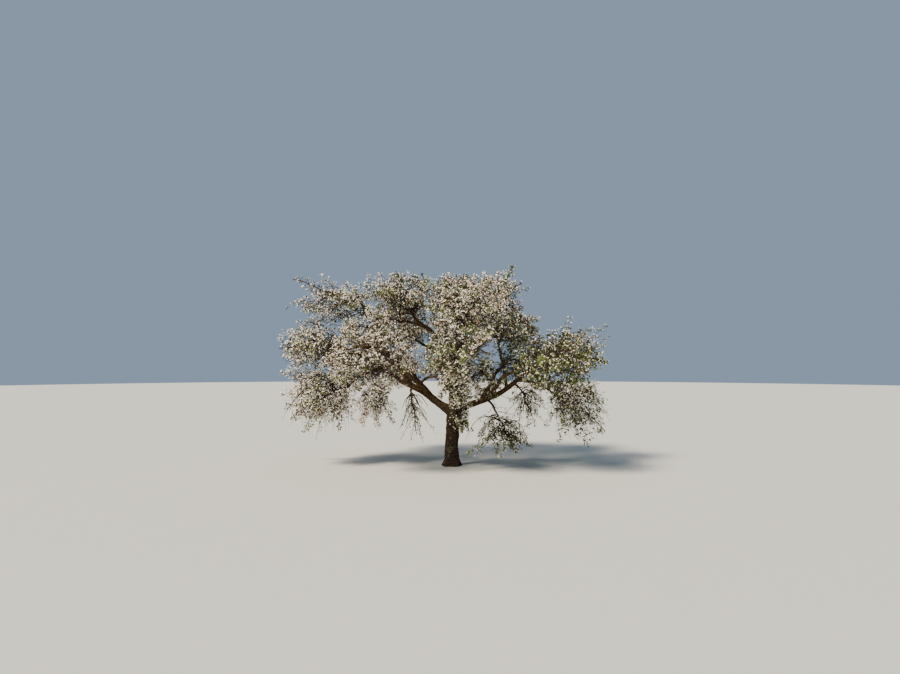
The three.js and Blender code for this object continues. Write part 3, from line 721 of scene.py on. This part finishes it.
BOUGH_SHOOTS = {"seed": 500, "spacing": 0.12, "from": 0.22, "leafy_from": 0.06, "thickest": 0.078,
                "lean": 2.2, "smallest": 0.35, "range": 0.3, "roll": 6, "leafy_bloom": 0.6}
BARE_LIMBS = ("arching_bough", "knob_stub")  # these have no short shoots
LEAFY_LIMBS = ("right_inner_bough", "right_rising_bough", "front_right_bough", "back_right_bough")
INNER_SHOOTS = {"seed": 1300, "spacing": 0.2, "from": 0.22, "forward": 0.5, "upward": 0.2, "sideways": 1.8,
                "shortest": 0.4, "range": 0.75, "bloom": 0.42, "right_bloom": 0.26}
INNER_LIMIT = {"inner": 1.6, "outer": 1.05, "parted": 0.7}  # how far out they may end
NOTCHES = {  # places near a mass that shoots from its stem fill: middle, half sizes and number
    "left_low": ((-4.35, -0.3, 2.98), (0.55, 0.8, 0.2), 12),
    "left_upper": ((-2.75, -0.85, 4.75), (0.45, 0.3, 0.35), 10),
    "top_left": ((-2.4, -0.2, 5.15), (0.35, 0.5, 0.3), 14),
}
NOTCH_SHOOTS = {"seed": 1700, "from": 0.05, "range": 0.6, "bloom": 0.8}
SPRIGS = {"seed": 900, "width": 0.17, "count": 16, "reach": 1.07, "range": 0.14, "outside": 1.08,
          "sag": 0.22, "bloom": 0.9, "fork": (0.4, 0.3, 0.9)}
STEM_SPRIG = {"fullness": 0.5, "from": 0.55, "to": 0.94}  # at the stem's end, in fuller masses
HIGHEST_SPRIG = 5.72
LOWEST_SPRIG = {"below": 0.2, "height": 0.65}  # below its mass's furthest sprig, and above the ground
SPARSE_SPRIGS = {"left_upper": 0.5, "right_outer": 0.6}
SPIKES = {  # where the longest shoots end, that stand out past the crown's edge
    "left_upper": ((-4.54, 0.1, 4.8), (-3.86, -0.3, 5.56), (-3.17, 0.2, 5.36), (-4.3, 0.4, 5.2)),
    "left_outer": ((-4.92, -0.3, 3.97), (-4.64, 0.3, 4.27), (-4.85, 0.2, 2.86)),
    "left_low": ((-5.04, -0.3, 2.4),),
    "top_left": ((-2.19, -0.2, 5.66),),
    "right_outer": ((3.52, -0.2, 4.33), (4.53, 0.1, 4.0), (4.2, -0.5, 3.75)),
    "right_low": ((4.47, -0.2, 2.4),),
}
SPIKE_FORK = (0.5, 0.15, 0.85)
WAY_TESTS = 8
BLEND = 7  # the higher, the less masses that overlap are blended


def depth_in_crown(points):
    """How far out these points are in the crown: 1 at its edge, less inside. Masses that overlap
    are blended, so that no notch opens between them."""
    depths = np.array([far_out(points, m.centre, m.half) for m in masses])
    return (depths ** -BLEND).sum(axis=0) ** (-1 / BLEND)


class Sprig(Spray):
    """A long slender shoot, past the crown's edge or up through its inside."""

    def __init__(self, mass, foot, tip, leafy, bloom):
        self.mass = mass
        self.bloom = bloom
        self.leafy = leafy
        self.root = foot
        self.length = float(np.linalg.norm(tip - foot))
        self.along = unit(tip - foot)
        self.across = square_to(self.along)
        self.width = self.thickness = SPRIGS["width"]


def clear_way(foot, tip, first, around):
    """Whether the way from foot to tip, from this share of it on, is clear of the limbs."""
    return clear_of_limbs(foot + (tip - foot) * np.linspace(first, 1, WAY_TESTS)[:, None], around)


def shares_along(limb, first, spacing, draw):
    """Places along a bough, as shares of its length, each a little off the spacing."""
    if limb.name != "trunk":
        for j in range(round(limb.sweep.size * (1 - first) / spacing)):
            yield first + (j + draw()) * spacing / limb.sweep.size


def bough_shoots(mass):
    """Short shoots on the outer part of a mass's bough, turned round it by the golden angle."""
    limb = mass.limb
    draw = seeded(BOUGH_SHOOTS["seed"] + mass.seed)
    leafy_limb = limb.name in LEAFY_LIMBS
    first = BOUGH_SHOOTS["leafy_from" if leafy_limb else "from"]
    for j, t in enumerate(shares_along(limb, first, BOUGH_SHOOTS["spacing"], draw)):
        leafy = draw() < SPRAY["leafy"]
        scale = BOUGH_SHOOTS["smallest"] + BOUGH_SHOOTS["range"] * draw()
        kind = (leafy, scale, draw() * BOUGH_SHOOTS["roll"])
        grows = leafy_limb or limb.radius_at(t, 0) < BOUGH_SHOOTS["thickest"]
        if t < 1 and grows and limb.name not in BARE_LIMBS:
            shoot = Spray(mass, limb.sweep, t, j * GOLDEN_TURN + mass.seed, BOUGH_SHOOTS["lean"], kind)
            shoot.bloom = BOUGH_SHOOTS["leafy_bloom"] if leafy_limb else 0
            yield shoot


def inner_shoots(mass):
    """Slender, sparsely flowered shoots that rise from a bough and fill the inside of the crown."""
    sweep = mass.limb.sweep
    draw = seeded(INNER_SHOOTS["seed"] + mass.seed)
    bloom = INNER_SHOOTS["bloom" if mass.centre[0] < 1 else "right_bloom"]
    for t in shares_along(mass.limb, INNER_SHOOTS["from"], INNER_SHOOTS["spacing"], draw):
        foot = sweep.points(min(t, 1))
        upward = UP * (INNER_SHOOTS["upward"] + draw())
        sideways = sweep.side * INNER_SHOOTS["sideways"] * (draw() - 0.5)
        way = unit(sweep.tangents(min(t, 1)) * INNER_SHOOTS["forward"] + upward + sideways)
        tip = foot + way * (INNER_SHOOTS["shortest"] + INNER_SHOOTS["range"] * draw())
        leafy = draw() < SPRAY["leafy"]
        limit = INNER_LIMIT["inner" if t < INNER_LIMIT["parted"] else "outer"]
        if t < 1 and depth_in_crown(tip) < limit and clear_way(foot, tip, first=0.35, around=0.01):
            yield Sprig(mass, foot, tip, leafy, bloom)


def notch_shoots(mass):
    """Shoots from a mass's stem into a place that would otherwise stay empty beside it."""
    middle, half, count = NOTCHES.get(mass.name, (0, 0, 0))
    draw = seeded(NOTCH_SHOOTS["seed"] + mass.seed)
    for _ in range(count):
        tip = np.array(middle) + np.array(half) * (2 * np.array((draw(), draw(), draw())) - 1)
        foot = mass.stem.points(NOTCH_SHOOTS["from"] + NOTCH_SHOOTS["range"] * draw())
        yield Sprig(mass, foot, tip, draw() < SPRAY["leafy"], NOTCH_SHOOTS["bloom"])


def edge_sprigs(mass):
    """The stem's own tip, the spikes, and slender shoots wherever the mass is at the crown's edge."""
    stem = mass.stem
    draw = seeded(SPRIGS["seed"] + mass.seed)
    if mass.fullness > STEM_SPRIG["fullness"]:
        yield Sprig(mass, stem.points(STEM_SPRIG["from"]), stem.points(STEM_SPRIG["to"]), True, 1)
    for tip in np.array(SPIKES.get(mass.name, ())):
        yield Sprig(mass, stem.fork(tip, *SPIKE_FORK), tip, False, 1)
    bloom = SPARSE_SPRIGS.get(mass.name, SPRIGS["bloom"])
    for i in range(SPRIGS["count"]):
        tip = twig_aim(mass, i, SPRIGS["count"], SPRIGS["reach"] + SPRIGS["range"] * draw())
        if mass.hangs:
            lowest = max(mass.sprig[2] - LOWEST_SPRIG["below"], LOWEST_SPRIG["height"])
            tip[2] = max(tip[2] - SPRIGS["sag"], lowest)
        foot = stem.fork(tip, *SPRIGS["fork"])
        outside = depth_in_crown(tip) > SPRIGS["outside"] and tip[2] < HIGHEST_SPRIG
        if outside and clear_way(foot, tip, first=0.3, around=0.02):
            yield Sprig(mass, foot, tip, draw() < SPRAY["leafy"], bloom)


sprays = [spray for mass in masses for spray in mass.sprays]
for kind_of_shoot in (bough_shoots, inner_shoots, notch_shoots, edge_sprigs):
    for mass in masses:
        sprays.extend(kind_of_shoot(mass))


def of_sprays(key):
    """One value of every spray as an array, such as root or mass.centre."""
    return np.array([attrgetter(key)(spray) for spray in sprays])


def by_mass(table, default):
    """For the mass of every side shoot, what a table says of it, or else the default."""
    return np.array([table.get(name, default) for name in mass_names])[spur_spray]


def tubes(centres, radii, sides):
    """Points and faces of one tapering tube for each row of centres."""
    along = unit(np.gradient(centres, axis=1))
    chords = unit(centres[:, -1] - centres[:, 0])[:, None]
    reference = np.where(abs(chords[..., 2:]) > STEEP, RIGHT, UP)
    side = unit(np.cross(along, reference))
    rise = np.cross(side, along)
    turns = 2 * math.pi * np.arange(sides)[:, None] / sides
    around = side[:, :, None] * np.cos(turns) + rise[:, :, None] * np.sin(turns)
    points = centres[:, :, None] + around * radii[:, :, None, None]
    index = np.arange(radii.size * sides).reshape(*radii.shape, sides)
    beside = np.roll(index, -1, axis=2)
    faces = np.stack((index[:, :-1], index[:, 1:], beside[:, 1:], beside[:, :-1]), axis=-1)
    return points.reshape(-1, 3), faces.reshape(-1, 4)


def add_piece(name, parts, material):
    """One piece from several parts of points and faces, in the place of the solid masses."""
    points, faces, first = [], [], 0
    for part_points, part_faces in parts:
        points.append(part_points)
        faces.extend((part_faces + first).tolist())
        first += len(part_points)
    mesh = bpy.data.meshes.new(name)
    mesh.from_pydata(np.concatenate(points), [], faces)
    piece = bpy.data.objects.new(name, mesh)
    bpy.context.scene.collection.objects.link(piece)
    piece.data.materials.append(material)
    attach(piece, "root")
    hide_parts(*MASSES)


STEM_SINK = 0.05  # a stem starts inside its bough
STEM_RINGS = np.linspace(0, 1, 15)
TWIG_RINGS = np.array((0, 0.08, 0.22, 0.4, 0.6, 0.8, 1))
TWIG_SWELL = 1 + 0.45 * np.exp(-TWIG_RINGS / 0.06)
SHOOT_RINGS = np.array((0, 0.3, 0.65, 1))
SHOOT_REACH = (0.95, 1.15)  # how far shoots run, as shares of the spray's length
SHOOT = {"foot": 0.0085, "tip": 0.0035, "sway": 0.055, "waves": 5, "bend": 0.05, "sag": -0.22}
SPURS = 20  # side shoots on each spray
SPUR_RADIUS = (0.005, 0.005 / 3)
SPUR = {  # the forward run is a share of the shoot's length
    "from": 0.1, "step": (0.2, 0.8), "least_spread": 0.1, "spread": (0.5, 1), "forward": 0.1,
    "run": (0.3, 1),
}
LEAST_THICKNESS = 0.28  # no spray of full size is flatter than this
CLUSTER_CLEARANCE = 0.045
EDGE = {"from": 1.0, "fade": 0.07}  # clusters thin out past this much of a mass's half size
CORE = {"from": 0.6, "share": 0.3}  # and few bloom in the shade of its middle
OPENING = {"size": 0.42, "edge": 0.22, "least": 0.12}  # clumps of blossom alternate with openings
OPEN = {  # the share of a mass that is clumps: 0.3 is nearly all of it, and less leaves more openings
    "right_hanging": 0, "fork_tuft": -0.12, "right_twigs": -0.05, "right_inner": 0.2, "left_hanging": 0.1,
    "right_outer": 0.02, "right_low": 0.06, "right_middle": 0, "front_right": 0.04, "back_right": 0.06,
    "back_right_high": 0.04, "left_upper": 0.24, "top_front": 0.2, "front_middle": 0.2, "front_low": 0.1,
}
MOSTLY_CLUMPS = 0.27
HOLLOWS = [  # shaded twiggy hollows that hardly bloom: middle and half sizes
    ((-1.0, -0.7, 4.3), (0.75, 1.3, 0.5)),
    ((-1.5, -0.9, 3.5), (0.5, 0.8, 0.35)),
    ((-1.75, -1.5, 2.8), (0.45, 1.4, 0.28)),
]
HOLLOW_SHARE = 0.22
FEATHERY = {  # masses whose clusters thin out well inside their edge: from where, as a share of its size
    "left_upper": 0.55, "left_low": 0.9, "right_low": 0.7, "right_hanging": 0.55, "left_hanging": 0.6,
    "right_outer": 0.72, "fork_tuft": 0.6, "left_outer": 0.8, "top_left": 0.7,
    "right_middle": 0.65, "back_right_high": 0.7, "top_right": 0.85,
}
FEATHERY_FADE = 0.3
NOT_FEATHERY = 2  # further out than any cluster
HIGHEST_CLUSTER = 5.7  # but for those on the sprig that rises from the right of the top
SEEN_BOUGHS = {  # boughs that show from the front: from and to, as shares of their length, how far
    # to each side and behind them clusters thin out, and to what share
    "left_high_bough": (0.05, 0.95, 0.1, 0.1, 0.2), "left_drop_bough": (0.05, 1, 0.1, 0.1, 0.25),
    "left_bough": (0.5, 1, 0.09, 0.1, 0.4), "top_far_left_bough": (0, 0.75, 0.1, 0.1, 0.2),
    "right_rising_bough": (0, 1, 0.32, 4, 0.18),
}
SEEN_PLACES = 24  # along each of them
RIGHT_OPENING = {"middle": (1.08, 2.98), "half": (0.52, 0.66)}  # across and up, from the front
RIGHT_OPENING_SHARE = 0.25
BARE_SHARE = 0.5  # of the side shoots that don't bloom in the shade and in the openings
SHORTEST_SHOOT = 0.2  # a shoot without clusters, as a share of its length

# Shoots and their side shoots, all at once: each spray has one row in these arrays
chance = np.random.default_rng(41)
root, along, across, length, width = map(of_sprays, ("root", "along", "across", "length", "width"))
over = np.cross(along, across)
leafy, hanging, mass_names = map(of_sprays, ("leafy", "mass.hangs", "mass.name"))
thickness = np.maximum(of_sprays("thickness"), LEAST_THICKNESS * of_sprays("mass.scale"))
sway_phase = chance.uniform(0, 2 * math.pi, (len(sprays), 1))
reach = SHOOT_REACH[0] + (SHOOT_REACH[1] - SHOOT_REACH[0]) * chance.uniform(0, 1, (len(sprays), 1)) ** 2


def on_shoots(share):
    """Points on every shoot at these shares of its length."""
    share = np.broadcast_to(share, (len(sprays), np.shape(share)[-1])) * reach
    sway = SHOOT["sway"] * np.sin(math.pi * share / reach) * np.sin(SHOOT["waves"] * share + sway_phase)
    bend = np.where(hanging, SHOOT["sag"], SHOOT["bend"])[:, None] * share**2
    steps = along[:, None] * share[..., None] + across[:, None] * sway[..., None] + UP * bend[..., None]
    return root[:, None] + steps * length[:, None, None]


spur_number = np.arange(SPURS)
spur_step = spur_number + chance.uniform(*SPUR["step"], (len(sprays), SPURS))
spur_share = SPUR["from"] + (1 - SPUR["from"]) * spur_step / SPURS
spur_turn = spur_number * GOLDEN_TURN + chance.uniform(0, 2 * math.pi, (len(sprays), 1))
spread = np.sqrt(np.maximum(SPUR["least_spread"], 1 - (2 * spur_share ** reach - 1) ** 2)) / 2
spread *= chance.uniform(*SPUR["spread"], spur_share.shape)
sideways = np.cos(spur_turn) * spread * width[:, None]
outwards = np.sin(spur_turn) * spread * thickness[:, None]
forwards = SPUR["forward"] * length[:, None] * chance.uniform(*SPUR["run"], spur_share.shape)
spur_way = across[:, None] * sideways[..., None] + over[:, None] * outwards[..., None]
spur_way = (spur_way + along[:, None] * forwards[..., None]).reshape(-1, 3)
spur_foot = on_shoots(spur_share).reshape(-1, 3)
spur_spray = np.repeat(np.arange(len(sprays)), SPURS)


def from_front(points):
    """Where points show from the front, across and up, on the upright plane through the trunk."""
    viewer = np.array(CAMERA_PLACE)
    away = points - viewer
    return viewer[[0, 2]] - away[:, [0, 2]] * viewer[1] / away[:, 1:2]


# The share of side shoots that bloom, by where in the crown their clusters stand
places = spur_foot + spur_way
depth = depth_in_crown(places)
thinned = np.exp(np.minimum(0, (EDGE["from"] - depth) / EDGE["fade"]))
thinned[depth < CORE["from"]] = CORE["share"]
clumps = np.array([noise.noise(place) for place in places / OPENING["size"]])
clumps += by_mass(OPEN, MOSTLY_CLUMPS)
in_opening = clumps < 0
thinned *= np.clip(1 + clumps / OPENING["edge"], OPENING["least"], 1)
for hollow in HOLLOWS:
    in_hollow = far_out(places, *hollow) < 1
    thinned[in_hollow] *= HOLLOW_SHARE
    in_opening |= in_hollow
thinned *= np.exp(np.minimum(0, (by_mass(FEATHERY, NOT_FEATHERY) - depth) / FEATHERY_FADE))
own_bloom = of_sprays("bloom")[spur_spray]
thinned = np.where(own_bloom > 0, own_bloom, thinned)
thinned[(places[:, 2] > HIGHEST_CLUSTER) & ~by_mass({"top_right": True}, False)] = 0
for name, (first, last, beside, behind, share) in SEEN_BOUGHS.items():
    line = limbs[name].sweep.points(np.linspace(first, last, SEEN_PLACES))
    gaps = np.linalg.norm(from_front(places)[:, None] - from_front(line), axis=2)
    covers = (gaps.min(axis=1) < beside) & (places[:, 1] < line[gaps.argmin(axis=1), 1] + behind)
    thinned[covers] *= share
    in_opening |= covers
thinned[far_out(from_front(places), *RIGHT_OPENING.values()) < 1] *= RIGHT_OPENING_SHARE

grown_spurs = np.concatenate([limb_gaps(part).min(axis=1) for part in in_parts(places)])
grown_spurs = grown_spurs > CLUSTER_CLEARANCE
kept = grown_spurs & (chance.uniform(0, 1, len(places)) < thinned)
last_kept = np.where(kept.reshape(spur_share.shape), spur_share, SHORTEST_SHOOT).max(axis=1)
last_kept = np.where(hanging, 1, last_kept)[:, None]
bare = grown_spurs & ((depth < CORE["from"]) | in_opening) & ~kept & (spur_share <= last_kept).ravel()
bare &= chance.uniform(0, 1, len(places)) < BARE_SHARE

stem_rows, stem_radii, twig_rows, twig_radii = [], [], [], []
for mass in masses:
    stem_rows.append(mass.stem.points(STEM_RINGS))
    stem_rows[-1][0] -= mass.stem.tangents(0) * STEM_SINK
    stem_radii.append(mass.stem_foot + (STEM["tip"] - mass.stem_foot) * STEM_RINGS ** STEM["taper"])
    for number, twig in enumerate(mass.twigs):
        size = TWIG if number < len(mass.twigs) / (1 + EXTRA_TWIGS) else FINE_TWIG
        twig_rows.append(twig.points(TWIG_RINGS))
        twig_radii.append((size["foot"] + (size["tip"] - size["foot"]) * TWIG_RINGS) * TWIG_SWELL)
shoot_radii = np.tile(SHOOT["foot"] + (SHOOT["tip"] - SHOOT["foot"]) * SHOOT_RINGS, (len(sprays), 1))
stems = tubes(np.array(stem_rows), np.array(stem_radii), sides=8)
longer_twigs = tubes(np.array(twig_rows), np.array(twig_radii), sides=4)
shoots = tubes(on_shoots(SHOOT_RINGS * last_kept), shoot_radii, sides=3)
spur_rows = np.stack((spur_foot, places), axis=1)[kept | bare]
spurs = tubes(spur_rows, np.tile(SPUR_RADIUS, (len(spur_rows), 1)), sides=3)

# Shoot bark: dull dark brown, so that the twigs draw fine lines between the blossom
shoot_bark = plain_material("apple_shoot_bark", "4a3c32", 0.8)
add_piece("twigs", [stems, longer_twigs, shoots], shoot_bark)
add_piece("side_shoots", [spurs], shoot_bark)

# Blossom
# Apple flowers in clusters at the tips of the side shoots, white with a blush. Each has five cupped
# petals round yellow stamens and is about life size.
FLOWER_RADIUS = 0.0205
PETAL = {"radius": 0.6, "middle": 0.7}  # as shares of the flower's radius
PETAL_CUP = math.radians(20)
CLUSTER_RADIUS = 0.064
CLUSTER_LEAN = {"shoot": 0.6, "up": 0.45, "out": 0.5, "chance": 0.4}
CLUSTER_TURN = 7
FLOWERS = {  # about how many in a cluster, and how they stand
    "tuft": 5.1, "leafy": 3.1, "first": 0.25, "tilt": (0.3, 1.7), "stalk": (0.5, 1.4), "nod": 0.35,
    "size": (0.85, 1.15),
}
BLOOM = {  # flowers and leaves of the masses that aren't in full bloom, as shares of the others'
    "right_hanging": (0.5, 1.1), "fork_tuft": (0.25, 0.8), "right_low": (0.7, 1.2),
    "right_outer": (0.7, 1.5), "right_inner": (0.6, 1.1), "right_twigs": (0.2, 0.35),
    "left_hanging": (0.85, 0.7), "knob_twigs": (0.12, 0.2), "right_middle": (0.6, 1.6),
    "back_right": (0.55, 1.5), "back_right_high": (0.6, 1.3),
    "front_right": (0.5, 1.9), "front_middle": (0.9, 1.6), "front_low": (0.85, 1.5),
    "top_middle": (1.05, 1.2), "top_left": (1, 1.2), "top_right": (1, 1.2), "top_front": (1, 1.2),
    "left_outer": (0.9, 1), "left_low": (0.9, 1), "left_centre": (0.9, 1), "front_left": (0.9, 1.1),
}
PETALS = {"white": ("f7f2e9", 0.45), "cream": ("eee7d8", 0.38), "blush": ("eeddd2", 0.17)}


def select_points(piece, wanted):
    """Selects some points of a piece and leaves it in edit mode."""
    bpy.ops.object.mode_set(mode="EDIT")
    bpy.ops.mesh.select_mode(type="VERT")
    bpy.ops.mesh.select_all(action="DESELECT")
    bpy.ops.object.mode_set(mode="OBJECT")
    for vertex in piece.data.vertices:
        vertex.select = bool(wanted(vertex.co))
    bpy.ops.object.mode_set(mode="EDIT")


def take_pattern(piece):
    """The points and faces of a finished pattern, which is then taken away."""
    bpy.ops.object.mode_set(mode="OBJECT")
    points = mesh_points(piece)
    faces = np.array([list(polygon.vertices) for polygon in piece.data.polygons])
    bpy.data.objects.remove(piece)
    return points, faces


def copies(pattern, places, facing, heading, scales):
    """Copies of a pattern with its Z turned to face a way and its Y towards a heading."""
    points, faces = pattern
    z = unit(facing)
    x = unit(np.cross(heading, z))
    y = np.cross(z, x)
    placed = x[:, None] * points[:, :1] + y[:, None] * points[:, 1:2] + z[:, None] * points[:, 2:]
    placed = places[:, None] + placed * scales[:, None, None]
    first = np.arange(len(places))[:, None, None] * len(points)
    return placed.reshape(-1, 3), (faces + first).reshape(-1, faces.shape[1])


petal_out = PETAL["middle"] * FLOWER_RADIUS
petal_middle = (0, petal_out * math.cos(PETAL_CUP), petal_out * math.sin(PETAL_CUP))
bpy.ops.mesh.primitive_circle_add(
    vertices=3, radius=PETAL["radius"] * FLOWER_RADIUS, fill_type="NGON",
    location=petal_middle, rotation=(-PETAL_CUP, 0, math.pi),
)
bpy.ops.object.transform_apply()
bpy.ops.object.mode_set(mode="EDIT")
bpy.ops.mesh.select_all(action="SELECT")
bpy.ops.mesh.spin(steps=4, dupli=True, angle=4 / 5 * 2 * math.pi, center=(0, 0, 0), axis=(0, 0, 1))
flower_pattern = take_pattern(bpy.context.active_object)

spur_foot, spur_way, spur_spray = spur_foot[kept], spur_way[kept], spur_spray[kept]
cluster_place = spur_foot + spur_way
cluster_axis = unit(
    CLUSTER_LEAN["shoot"] * unit(spur_way)
    + CLUSTER_LEAN["up"] * UP
    + CLUSTER_LEAN["out"] * unit(cluster_place - of_sprays("mass.centre")[spur_spray])
    + CLUSTER_LEAN["chance"] * chance.normal(size=cluster_place.shape)
)
cluster_side = unit(np.cross(cluster_axis, chance.normal(size=cluster_axis.shape)))
cluster_rise = np.cross(cluster_side, cluster_axis)
flower_share, leaf_share = by_mass(BLOOM, (1, 1)).T


def deal(kind, share):
    """For each one of a kind, its cluster and its way out of it. The ways are tilted from the
    cluster's axis, the first one's least, and turned round it by the golden angle."""
    mean = np.where(leafy[spur_spray], kind["leafy"], kind["tuft"]) * share
    dealt = np.floor(mean - 0.5 + chance.uniform(-0.5, 1.5, len(mean))).astype(int)
    dealt = np.maximum(dealt, 0)
    cluster = np.repeat(np.arange(len(dealt)), dealt)
    number = np.arange(len(cluster)) - np.repeat(np.cumsum(dealt) - dealt, dealt)
    tilt = (np.where(number == 0, kind["first"], 1) * chance.uniform(*kind["tilt"], len(number)))[:, None]
    turn = (number * GOLDEN_TURN + CLUSTER_TURN * cluster)[:, None]
    flat = cluster_side[cluster] * np.cos(turn) + cluster_rise[cluster] * np.sin(turn)
    return cluster, cluster_axis[cluster] * np.cos(tilt) + flat * np.sin(tilt)


def dealt_out(colours, tints):
    """For each colour, its name, its hex value and which of these tints are in its share."""
    first = 0
    for name, (hex_colour, share) in colours.items():
        yield name, hex_colour, (tints >= first) & (tints < first + share)
        first += share


flower_cluster, flower_way = deal(FLOWERS, flower_share)
stalk_length = CLUSTER_RADIUS * chance.uniform(*FLOWERS["stalk"], len(flower_way))[:, None]
flower_place = cluster_place[flower_cluster] + flower_way * stalk_length
flower_facing = flower_way + FLOWERS["nod"] * chance.normal(size=flower_way.shape)
flower_heading = chance.normal(size=flower_way.shape)
flower_size = chance.uniform(*FLOWERS["size"], len(flower_way))
flowers = (flower_place, flower_facing, flower_heading, flower_size)
spray_tint = chance.uniform(0, 1, len(sprays))

# Petals: soft matt white, cream or blush pink, one to a spray
for tint, colour, mine in dealt_out(PETALS, spray_tint[spur_spray[flower_cluster]]):
    petals = copies(flower_pattern, *(values[mine] for values in flowers))
    add_piece(f"{tint}_blossom", [petals], plain_material(f"apple_petals_{tint}", colour, 0.6))

# Stamens: a dull yellow eye in each flower
STAMEN_RADIUS = 0.0065
STAMEN_HEIGHT = 0.005
bpy.ops.mesh.primitive_circle_add(
    vertices=3, radius=STAMEN_RADIUS, fill_type="NGON", location=(0, 0, STAMEN_HEIGHT)
)
bpy.ops.object.transform_apply()
stamens = copies(take_pattern(bpy.context.active_object), *flowers)
add_piece("stamens", [stamens], plain_material("apple_stamens", "cdbb6a", 0.7))

# Buds and stalks
# Unopened flowers, rose pink and pointed, on the same clusters. A thin green stalk, one long
# triangle, holds every bud and flower to its shoot.
BUDS = {"tuft": 0.5, "leafy": 0.5, "first": 1, "tilt": (0.2, 1.3), "size": (0.8, 1.2)}
BUD_RADIUS = 0.0085
BUD_LENGTH = 0.022
BUD_REACH = 0.9  # as a share of the cluster's radius
STALK_WIDTH = 0.004
bpy.ops.mesh.primitive_cone_add(
    vertices=4, radius1=BUD_RADIUS, depth=BUD_LENGTH / 2, end_fill_type="TRIFAN"
)
bud = bpy.context.active_object
select_points(bud, lambda co: math.hypot(co.x, co.y) < 0.001 and co.z < 0)
bpy.ops.transform.translate(value=(0, 0, -BUD_LENGTH / 2))
bud_pattern = take_pattern(bud)
bud_cluster, bud_way = deal(BUDS, flower_share)
bud_place = cluster_place[bud_cluster] + bud_way * CLUSTER_RADIUS * BUD_REACH
bud_size = chance.uniform(*BUDS["size"], len(bud_way))
buds = copies(bud_pattern, bud_place, bud_way, chance.normal(size=bud_way.shape), bud_size)

# Bud petals: soft matt rose pink
add_piece("buds", [buds], plain_material("apple_buds_rose", "c77b86", 0.6))

stalk_foot = cluster_place[np.concatenate((flower_cluster, bud_cluster))]
stalk_end = np.concatenate((flower_place, bud_place))
stalk_side = unit(np.cross(stalk_end - stalk_foot, chance.normal(size=stalk_end.shape))) * STALK_WIDTH / 2
stalk_points = np.stack((stalk_foot - stalk_side, stalk_foot + stalk_side, stalk_end), axis=1)
stalks = (stalk_points.reshape(-1, 3), np.arange(len(stalk_points) * 3).reshape(-1, 3))

# Stalk skin: dull yellowish green
add_piece("stalks", [stalks], plain_material("apple_flower_stalks", "7d8550", 0.6))

# Leaves
# Young apple leaves in a rosette round each cluster. Each is a six-sided blade, folded a little
# along its rib, with a narrower end that droops.
LEAF_LENGTH = 0.062
LEAF_WIDTH = 0.036
LEAF_FOLD = 0.007
LEAF_DROOP = 0.01
LEAF_TAPER = 0.75
LEAVES = {"tuft": 1.6, "leafy": 3.5, "first": 1, "tilt": (1, 2), "nod": 0.3, "size": (0.7, 1.25)}
LEAF_GREENS = {"fresh": ("737f48", 0.33), "olive": ("4f532d", 0.35), "bronze": ("584529", 0.32)}
GREENER = (  # masses with hardly any bronze leaves
    "front_low", "front_middle", "right_middle", "right_inner", "right_outer", "right_low", "front_right",
    "right_hanging", "fork_tuft", "right_twigs", "top_front",
)
GREENER_TINT = 0.75
bpy.ops.mesh.primitive_circle_add(vertices=6, radius=LEAF_LENGTH / 2, fill_type="NGON")
leaf = bpy.context.active_object
leaf.scale = (LEAF_WIDTH / (LEAF_LENGTH * math.cos(math.pi / 6)), 1, 1)
bpy.ops.object.transform_apply()
select_points(leaf, lambda co: abs(co.x) < 0.1 * LEAF_WIDTH)
bpy.ops.mesh.vert_connect_path()
bpy.ops.transform.translate(value=(0, 0, -LEAF_FOLD))
select_points(leaf, lambda co: co.y > 0.1 * LEAF_LENGTH and abs(co.x) > 0.1 * LEAF_WIDTH)
bpy.ops.transform.resize(value=(LEAF_TAPER, 1, 1))
select_points(leaf, lambda co: co.y > 0.45 * LEAF_LENGTH)
bpy.ops.transform.translate(value=(0, 0, -LEAF_DROOP))
bpy.ops.mesh.select_all(action="SELECT")
bpy.ops.transform.translate(value=(0, LEAF_LENGTH / 2, 0))
leaf_pattern = take_pattern(leaf)

leaf_cluster, leaf_way = deal(LEAVES, leaf_share)
leaf_facing = cluster_axis[leaf_cluster] + LEAVES["nod"] * chance.normal(size=leaf_way.shape)
leaf_size = chance.uniform(*LEAVES["size"], len(leaf_way))
leaves = (cluster_place[leaf_cluster], leaf_facing, leaf_way, leaf_size)
leaf_tint = chance.uniform(0, 1, len(sprays))
leaf_tint[np.isin(mass_names, GREENER)] *= GREENER_TINT

# Leaf skin, faintly glossy, in one colour to a spray: fresh green, deep olive or young bronze
for green, colour, mine in dealt_out(LEAF_GREENS, leaf_tint[spur_spray[leaf_cluster]]):
    blades = copies(leaf_pattern, *(values[mine] for values in leaves))
    add_piece(f"{green}_leaves", [blades], plain_material(f"apple_leaf_{green}", colour, 0.5))
